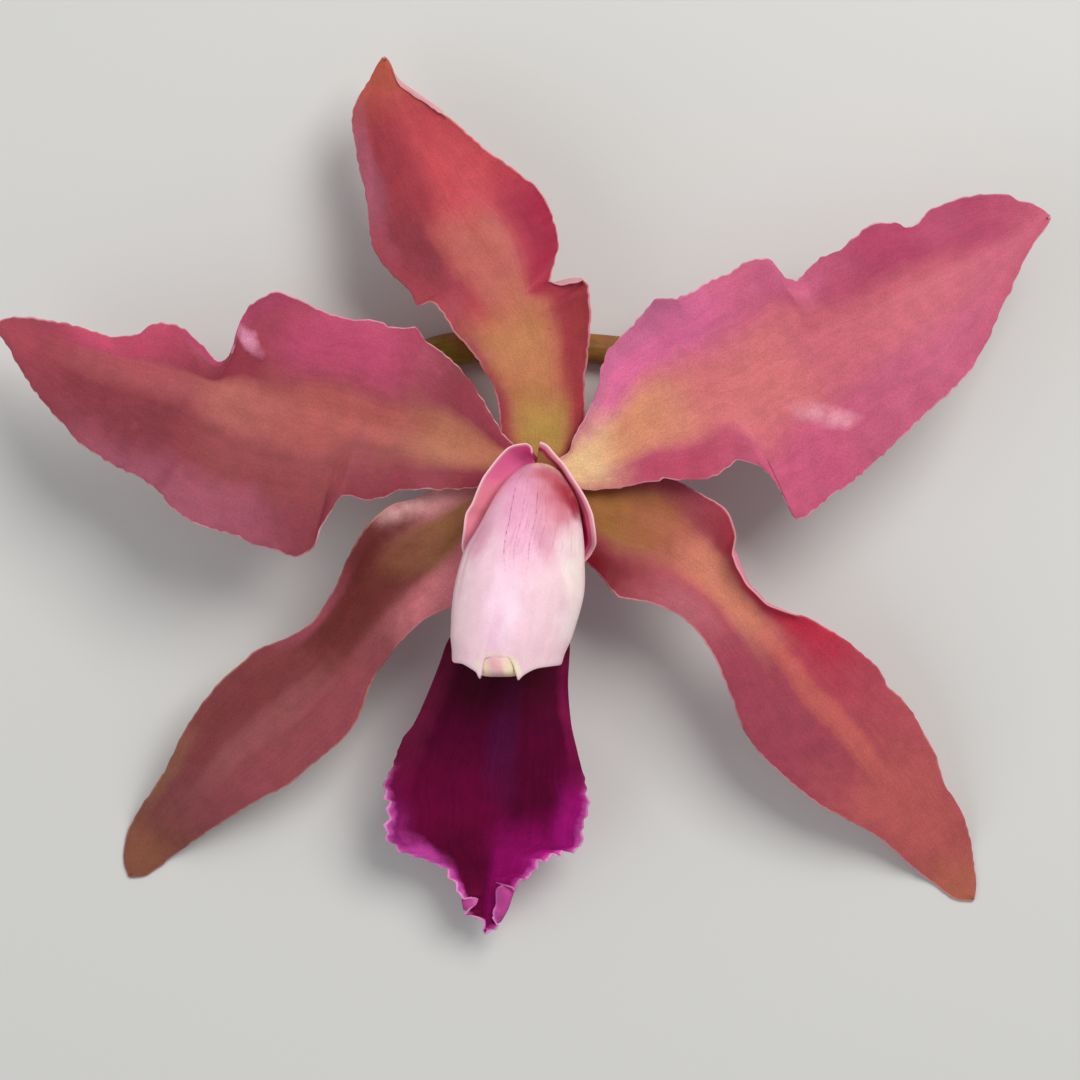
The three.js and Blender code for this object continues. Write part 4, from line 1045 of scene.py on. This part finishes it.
def column_veins(f, shade):
    """Fine threads and a few dark veins, broken into dashes, over the upper half of the column."""
    along, around, _ = f.parts(f.blade)
    bend = (f.noise(0.25, 1.0) - 0.5) * 0.02
    dashes = f.spread(f.noise(1.6, 2.0), 0.42, 0.58, 0.25, 1.0)
    there = f.spread(along, 0.56, 0.32) * f.spread(along, 0.0, 0.06)
    threads = f.noise(1.0, 2.0, at=f.vector("MULTIPLY", f.blade, (9.0, 120.0, 1.0)))
    inner = f.spread(around + along * 0.13, 0.39, 0.34)
    shade = f.over(shade, "#C47098", f.spread(threads, 0.5, 0.72, 0.0, 0.38) * there * inner)
    for start, turn, depth in (
        (0.21, 0.0, 0.3), (0.247, -0.02, 0.7), (0.3, -0.05, 0.4), (0.362, -0.13, 0.7),
    ):
        off = (around + bend - start - along * turn) * (1 / VEIN_WIDTH)
        line = f.spread(off * off, 1.0, 0.0, 0.0, depth)
        shade = f.over(shade, "#A04A78", line * dashes * there)
    return shade


def column():
    """The column: a hood that widens from the heart, hollow at its end, with a notch for the cap."""
    sections = np.array([  # x, y, half width, underside and top
        [-0.7, 0.6, 0.3, 17.6, 18.2], [-0.7, 0.45, 1.1, 17.2, 19.1], [-0.7, 0.05, 1.9, 16.8, 20.2],
        [-0.75, -0.5, 2.65, 16.6, 20.9], [-0.95, -2.9, 4.4, 16.6, 22.1], [-1.5, -6.1, 5.6, 16.9, 23.2],
        [-2.3, -9.5, 6.7, 17.3, 24.1], [-2.85, -13.8, 7.2, 17.8, 25], [-3.6, -18.2, 6.75, 18.2, 25.1],
        [-4, -20.2, 6.2, 18.4, 24.9], [-4.1, -20.9, 6.1, 18.5, 24.8],
    ])
    edge_line = through(  # how far the rim runs beyond its section, across the hood
        [-1, -0.85, -0.69, -0.57, -0.505, -0.475, -0.44, -0.4, 0, 0.06, 0.12, 0.16, 0.2, 0.27, 0.35,
         0.55, 0.82, 1],
        [-0.4, -0.5, -1, -1.5, -2.2, -1.5, -0.5, 0.1, 0.1, -0.2, -0.9, -1.7, -2.35, -1.95, -1.6,
         -1.05, -0.8, -0.65],
    )

    def edge(share):
        return edge_line(share)[:, 0]

    length = -sections[:, 1]
    along = through(length, sections)
    steps = length[0] + (length[-1] - length[0]) * np.linspace(0, 1, COLUMN_RINGS) ** 1.4
    rings = [column_ring(section) for section in along(steps)]
    near_rim = smoothstep(length[-1] - RIM_RUN, length[-1], steps)
    rings = [ring + (column_ring(along(np.array([s]))[0], 0, edge) - ring) * share
             for ring, s, share in zip(rings, steps, near_rim)]
    rim = along(steps[-1:])[0]
    for section, inset, line in (  # round the rim and back into the hollow
        (rim, 0.12, lambda share: edge(share) - 0.1),
        (rim, 0.4, lambda share: edge(share) - 0.02),
        (rim, 0.6, lambda share: np.minimum(0, edge(share) + 0.6)),
        ([-4.1, -18.6, 6, 18.6, 24.5], 0.9, None),
        ([-3.9, -16.4, 4.6, 19.2, 23.6], WALL, None),
    ):
        rings.append(column_ring(section, inset, line))
    drawn, faces = loft(rings)
    inside = np.arange(len(drawn)) >= COLUMN_RINGS * COLUMN_SIDES
    around = np.append(np.tile(np.linspace(0, 1, COLUMN_SIDES), len(rings)), [0, 0])
    maps = rimless(drawn[:, :2], np.stack([-drawn[:, 1] / COLUMN_LENGTH, around], -1))
    maps["edge"][inside, 1] = 0
    glazes = [
        ("#F4CCDC", (-4.2, -13.6), (5.6, 9.0), 0, 0.9, 0.1),
        ("#FFDEEE", (-4.3, -15.0), (3.0, 6.4), 0, 0.8),
        ("#F0B0CC", (-2.8, -6.0), (5.2, 7.8), 0, 0.95, 0.1),
        ("#E8A0C0", (-2.6, -2.0), (4.6, 5.5), 0, 0.95, 0.1),
        ("#D890AE", (-7.0, -8.0), (1.6, 4.6), -24, 0.7),
        # pale right flank: partly its own colour, partly painted highlight
        ("#F0DEDA", (3.6, -11.4), (2.6, 8.2), 4, 0.95, 0.3),
        ("#F6D6DA", (-9.4, -14.5), (1.5, 9.0), -5, 0.85),
        ("#ECDCDC", (2.9, -17.4), (2.3, 3.6), 6, 0.8),
        ("#D490A8", (0.0, -7.2), (2.0, 5.4), 6, 0.85),
        ("#CE7890", (-1.4, -0.3), (2.4, 1.8), 0, 0.6),
        # These five ovals are painted shade, tinted red, with its pink fringe, on the upper right flank
        # where the right side lobe meets the column.
        ("#DA8C9E", (1.0, -4.2), (2.9, 5.2), 32, 0.95),
        ("#C46674", (1.7, -3.0), (2.8, 4.8), 36, 0.9),
        ("#A43840", (2.5, -2.6), (1.6, 4.2), 36, 1.0, 0.2),
        ("#96283A", (3.4, -4.2), (1.2, 3.0), 28, 0.9, 0.2),
        ("#B8545E", (0.4, -0.7), (2.3, 1.3), -14, 0.85),
        ("#C8A070", (2.1, -0.4), (0.6, 1.5), 48, 0.85),
        ("#E8B6D2", (-5.1, -18.4), (1.3, 5.2), 0, 0.5),
        ("#E8D2BA", (-5.2, -20.3), (2.4, 0.9), 0, 0.5),
        ("#F4EAC4", (-7.1, -21.6), (0.7, 1.3), -8, 0.5),
        ("#F4EAC4", (-3.3, -21.5), (0.8, 1.7), 22, 0.9, 0.3),
        ("#E8CC94", (0.2, 0.45), (2.8, 0.4), -12, 0.9),
    ]
    finish = tissue(
        "column wax", "#EDC9D3", glazes=glazes, under="#E0BCC6", streaks=0.025, mottle=0.02, fine=0.03,
        blush=0.0, gloss=0.36, late=column_veins,
    )
    add_piece("column_hood", "column", seen(drawn), faces, maps, finish)


CAP_HALF_SIZE = np.array([2.3, 2.0, 3.1])
CAP_BRIM = 20.5  # the level of its open underside
CAP_THICKNESS = 0.6
CAP_SIDES = 64
CAP_LEVELS = 20  # of its outer face, and as many of its inner face
CAP_SQUARENESS = 0.42  # 1 for a cap that is round from above, less for a squarer one
CAP_STEEPNESS = 0.28  # 1 for one that is round from the side, less for steeper sides
HOOD_OFFSET = 0.9  # how far to the right of the cap the middle of the hood over it is
HOOD_HALF_WIDTH = 6.1
HOOD_WAIST = 21.05  # the level at which the hood is widest
HOOD_RISE = 3.83  # from there to its top
BACK_TUCK = 1.1  # how far the back of the cap lies below the hood
SIDE_TUCK = 0.28  # the same for its sides

MASS_HALF_SIZE = [0.42, 0.46, 0.62]  # of one pollen mass
MASS_OFFSET = 0.32  # of its middle from the cap's, both ways
MASS_LIFT = 0.35  # of its middle above the cap's brim
MASS_SIDES = 24
MASS_LEVELS = 16


def dome(centre):
    """A hollow dome, open below: its outer face down to the brim and its inner face back up."""
    low = math.asin((CAP_BRIM - centre[2]) / CAP_HALF_SIZE[2])  # the tilt at the brim, in radians
    sides = circle(CAP_SIDES)
    outline = np.sign(sides) * np.abs(sides) ** CAP_SQUARENESS
    outside = np.linspace(math.pi / 2 - 0.02, low, CAP_LEVELS)
    inside = np.linspace(low, 1.5, CAP_LEVELS)
    rings = []
    for inset, tilts in ((0, outside), (CAP_THICKNESS, inside)):
        for tilt in tilts:
            ring = ring_at(outline, tilt, CAP_STEEPNESS) * (CAP_HALF_SIZE - inset) + centre
            ring[:, 2] = np.maximum(ring[:, 2], CAP_BRIM)
            rings.append(ring)
    return loft(rings)


def anther_cap():
    """The anther cap: a small waxy dome, open below, whose sides slip under the hood's teeth."""
    centre = seen(CAP_CENTRE)
    points, faces = dome(centre)
    local = (points - centre) / CAP_HALF_SIZE
    across = (points[:, 0] - centre[0] - HOOD_OFFSET) / HOOD_HALF_WIDTH
    hood = HOOD_WAIST + HOOD_RISE * np.sqrt(1 - across**2)
    level = (points[:, 2] - CAP_BRIM) / (centre[2] + CAP_HALF_SIZE[2] - CAP_BRIM)
    at_sides = smoothstep(0.2, 0.7, np.abs(local[:, 0]))
    tucked = BACK_TUCK * smoothstep(0.0, 0.7, local[:, 1]) + SIDE_TUCK * at_sides
    points[:, 2] = CAP_BRIM + level * (hood - tucked - CAP_BRIM)
    maps = rimless(points[:, :2] - centre[:2] + CAP_CENTRE[:2], local[:, :2])
    glazes = [
        ("#EEDDB8", (-6.9, -22.1), (1.7, 2.4), -8, 1.0, 0.4),
        ("#EEDDB8", (-2.9, -22.1), (1.8, 2.4), 14, 1.0, 0.4),
        ("#DAA4A2", (-4.9, -21.8), (1.1, 1.7), 0, 0.7),
        ("#DEB8B4", (-5.1, -22.6), (1.3, 1.1), 0, 0.6),
        ("#D8B47C", (-5.0, -23.1), (2.6, 0.4), 0, 0.6),
    ]
    finish = tissue(
        "anther wax", "#E6B8BE", glazes=glazes, streaks=0.03, mottle=0.03, fine=0.03, blush=0.0,
        gloss=0.34,
    )
    add_piece("anther_cap_dome", "anther_cap", points, faces, maps, finish)


def pollinia():
    """The four waxy pollen masses, grown together, under the cap."""
    centre = seen(CAP_CENTRE)
    centre[2] = CAP_BRIM + MASS_LIFT
    tilts = np.linspace(-1.52, 1.52, MASS_LEVELS)
    ball = [ring_at(circle(MASS_SIDES), tilt) * MASS_HALF_SIZE for tilt in tilts]
    points, faces = [], []
    for side, row in ((-1, -1), (1, -1), (-1, 1), (1, 1)):
        middle = centre + np.array([side * MASS_OFFSET, row * MASS_OFFSET, 0])
        mass, mass_faces = loft([ring + middle for ring in ball])
        start = sum(len(part) for part in points)
        faces += [tuple(corner + start for corner in face) for face in mass_faces]
        points.append(mass)
    points = np.concatenate(points)
    plan = points[:, :2] - centre[:2]
    glow = [("#F0DC90", (0.0, 0.0), (0.6, 0.6))]
    finish = tissue("pollen wax", "#E8C860", glazes=glow, gloss=0.3, blush=0.0)
    add_piece("pollen_masses", "pollinia", points, faces, rimless(plan, plan), finish)


# ----------------------------------------------------------------------------------------- stalk

STALK_SIDES = 40
STALK_STEPS = 220
STALK_TOP = 11.5  # the level at which the ovary meets the blades
STALK_SNUG = 0.98  # of the drawn radius, so that the skin stays within it
RIDGES = 6  # round the ovary
RIDGE_DEPTH = 0.03  # of its radius
RIDGE_TWIST = 4  # radians, over the whole stalk
STALK_MAP = 8  # lengths of the blade map along the stalk


def centripetal(points, steps):
    """Evenly spaced points on the centripetal Catmull-Rom curve through some points."""
    points = np.asarray(points, float)
    ends = np.array([2 * points[0] - points[1], *points, 2 * points[-1] - points[-2]])
    fine = []
    for p0, p1, p2, p3 in zip(ends, ends[1:], ends[2:], ends[3:]):
        knots = [0.0]
        for a, b in ((p0, p1), (p1, p2), (p2, p3)):
            knots.append(knots[-1] + math.sqrt(max(np.linalg.norm(b - a), 1e-6)))
        k0, k1, k2, k3 = knots
        for t in np.linspace(k1, k2, 40, endpoint=False):
            a1 = p0 + (p1 - p0) * (t - k0) / (k1 - k0)
            a2 = p1 + (p2 - p1) * (t - k1) / (k2 - k1)
            a3 = p2 + (p3 - p2) * (t - k2) / (k3 - k2)
            b1 = a1 + (a2 - a1) * (t - k0) / (k2 - k0)
            b2 = a2 + (a3 - a2) * (t - k1) / (k3 - k1)
            fine.append(b1 + (b2 - b1) * (t - k1) / (k2 - k1))
    fine = np.array([*fine, points[-1]])
    lengths = lengths_along(fine)
    wanted = np.linspace(0, lengths[-1], steps)
    return np.stack([np.interp(wanted, lengths, axis) for axis in fine.T], -1)


def stalk():
    """The ovary, which turns under the bloom, and the stem that runs on along the surface."""
    line = np.array([  # x, y, z of the middle and the radius there
        [0, 0, 11.5, 2.6], [-0.7, -0.1, 9.6, 2.65], [-2.9, -0.3, 7.6, 2.75], [-6.6, 0, 6.2, 2.8],
        [-11.5, 1.4, 4.9, 2.7], [-15.6, 4.3, 3.5, 2.4], [-16.4, 8.4, 2.4, 2.15], [-13.2, 12, 1.95, 2],
        [-7, 13.5, 1.75, 1.85], [4, 13.2, 1.65, 1.75], [16, 12.4, 1.6, 1.7], [29, 14, 1.6, 1.7],
        [42, 17.5, 1.6, 1.7],
    ])
    middles = centripetal(seen(line[:, :3]), STALK_STEPS)
    share = np.linspace(0, 1, STALK_STEPS)
    radius = through(fractions(line), line[:, 3:])(share)[:, 0]
    tangents = unit(np.gradient(middles, axis=0))
    rings, around_map = [], []
    angle = 2 * math.pi * np.arange(STALK_SIDES) / STALK_SIDES
    for i, (middle, ahead) in enumerate(zip(middles, tangents)):
        ahead = np.array([0, 0, -1.0]) if i == 0 else ahead
        sideways = np.cross([0, 0, 1.0], ahead)
        sideways = unit(sideways) if sideways @ sideways > 0.01 else np.array([0, -1.0, 0])
        upward = unit(np.cross(ahead, sideways))
        fading = 1 - smoothstep(0.25, 0.5, share[i])  # only the ovary is ridged
        ridges = 1 + RIDGE_DEPTH * np.sin(RIDGES * angle + share[i] * RIDGE_TWIST) * fading
        reach = (radius[i] * STALK_SNUG * ridges)[:, None]
        ring = middle + (sideways * np.cos(angle)[:, None] + upward * np.sin(angle)[:, None]) * reach
        ring[:, 2] = np.clip(ring[:, 2], FLOOR, STALK_TOP)
        rings.append(ring)
        around = np.stack([np.full(STALK_SIDES, share[i] * STALK_MAP), angle / (2 * math.pi)], -1)
        around_map.append(around)
    points, faces = loft(rings)
    maps = rimless(points[:, :2], np.concatenate([*around_map, [[0, 0], [STALK_MAP, 0]]]))
    glazes = [
        ("#A08E36", (-6.0, 1.0), (12.0, 6.0), 0, 0.9, 0.4),
        ("#949030", (-12.0, 10.0), (8.0, 6.0), 0, 0.9, 0.4),
        ("#7E6428", (2.0, 13.5), (9.0, 3.0), 0, 0.8, 0.3),
        ("#9A5A3C", (34.0, 16.0), (12.0, 5.0), 0, 0.8, 0.3),
    ]
    finish = tissue(
        "stalk skin", "#8A5A34", glazes=glazes, streaks=0.1, mottle=0.1, blush=0.0, gloss=0.4,
    )
    add_piece("stalk_skin", "stalk", points, faces, maps, finish)


# ------------------------------------------------------------------------------------- the scene

LAMPS = (  # name, place in metres, size, watts and tint
    ("key", (0.22, 0.26, 0.48), 0.3, 2.6, (1.0, 0.98, 0.95)),
    ("fill", (-0.4, -0.15, 0.4), 0.5, 0.85, (0.95, 0.97, 1.0)),
)
SKY = (0.96, 0.97, 1.0, 1)
SKY_STRENGTH = 0.36
FLOOR_HALF = 0.8  # metres
FLOOR_COLOUR = (0.62, 0.62, 0.6, 1)
FLOOR_ROUGHNESS = 0.8


def add_camera():
    """The camera hangs straight above, at the point from which the bloom is drawn."""
    data = bpy.data.cameras.new("camera")
    data.sensor_width = 36.0
    data.lens = data.sensor_width * (EYE_HEIGHT - HEART_HEIGHT) / VIEW_WIDTH
    data.clip_start = 0.01
    camera = add_object("camera", data)
    camera.location = Vector((*(HEART[:2] + MIDDLE), EYE_HEIGHT)) * MM
    bpy.context.scene.camera = camera


def add_lamp(name, place, size, power, tint):
    """A square soft light, at a place in metres, that faces the heart of the bloom."""
    data = bpy.data.lights.new(name, "AREA")
    data.size = size
    data.energy = power
    data.color = tint
    lamp = add_object(name, data)
    lamp.location = place
    lamp.rotation_mode = "QUATERNION"
    lamp.rotation_quaternion = (-Vector(place)).to_track_quat("-Z", "Y")


def add_surroundings():
    """A plain pale floor under soft studio light."""
    world = bpy.data.worlds.new("studio")
    world.use_nodes = True
    background = world.node_tree.nodes["Background"]
    background.inputs["Color"].default_value = SKY
    background.inputs["Strength"].default_value = SKY_STRENGTH
    bpy.context.scene.world = world
    bpy.context.scene.view_settings.view_transform = "Standard"
    for lamp in LAMPS:
        add_lamp(*lamp)

    mesh = bpy.data.meshes.new("floor")
    corners = [(x * FLOOR_HALF, y * FLOOR_HALF, FLOOR) for x, y in ((-1, -1), (1, -1), (1, 1), (-1, 1))]
    mesh.from_pydata(corners, [], [(0, 1, 2, 3)])
    floor = add_object("floor", mesh)
    paint = bpy.data.materials.new("floor paint")
    paint.use_nodes = True
    shader = paint.node_tree.nodes["Principled BSDF"]
    shader.inputs["Base Color"].default_value = FLOOR_COLOUR
    shader.inputs["Roughness"].default_value = FLOOR_ROUGHNESS
    mesh.materials.append(paint)


add_camera()
add_surroundings()
for build in (
    dorsal_sepal, left_petal, right_petal, left_sepal, right_sepal, lip, column, anther_cap,
    pollinia, stalk,
):
    build()
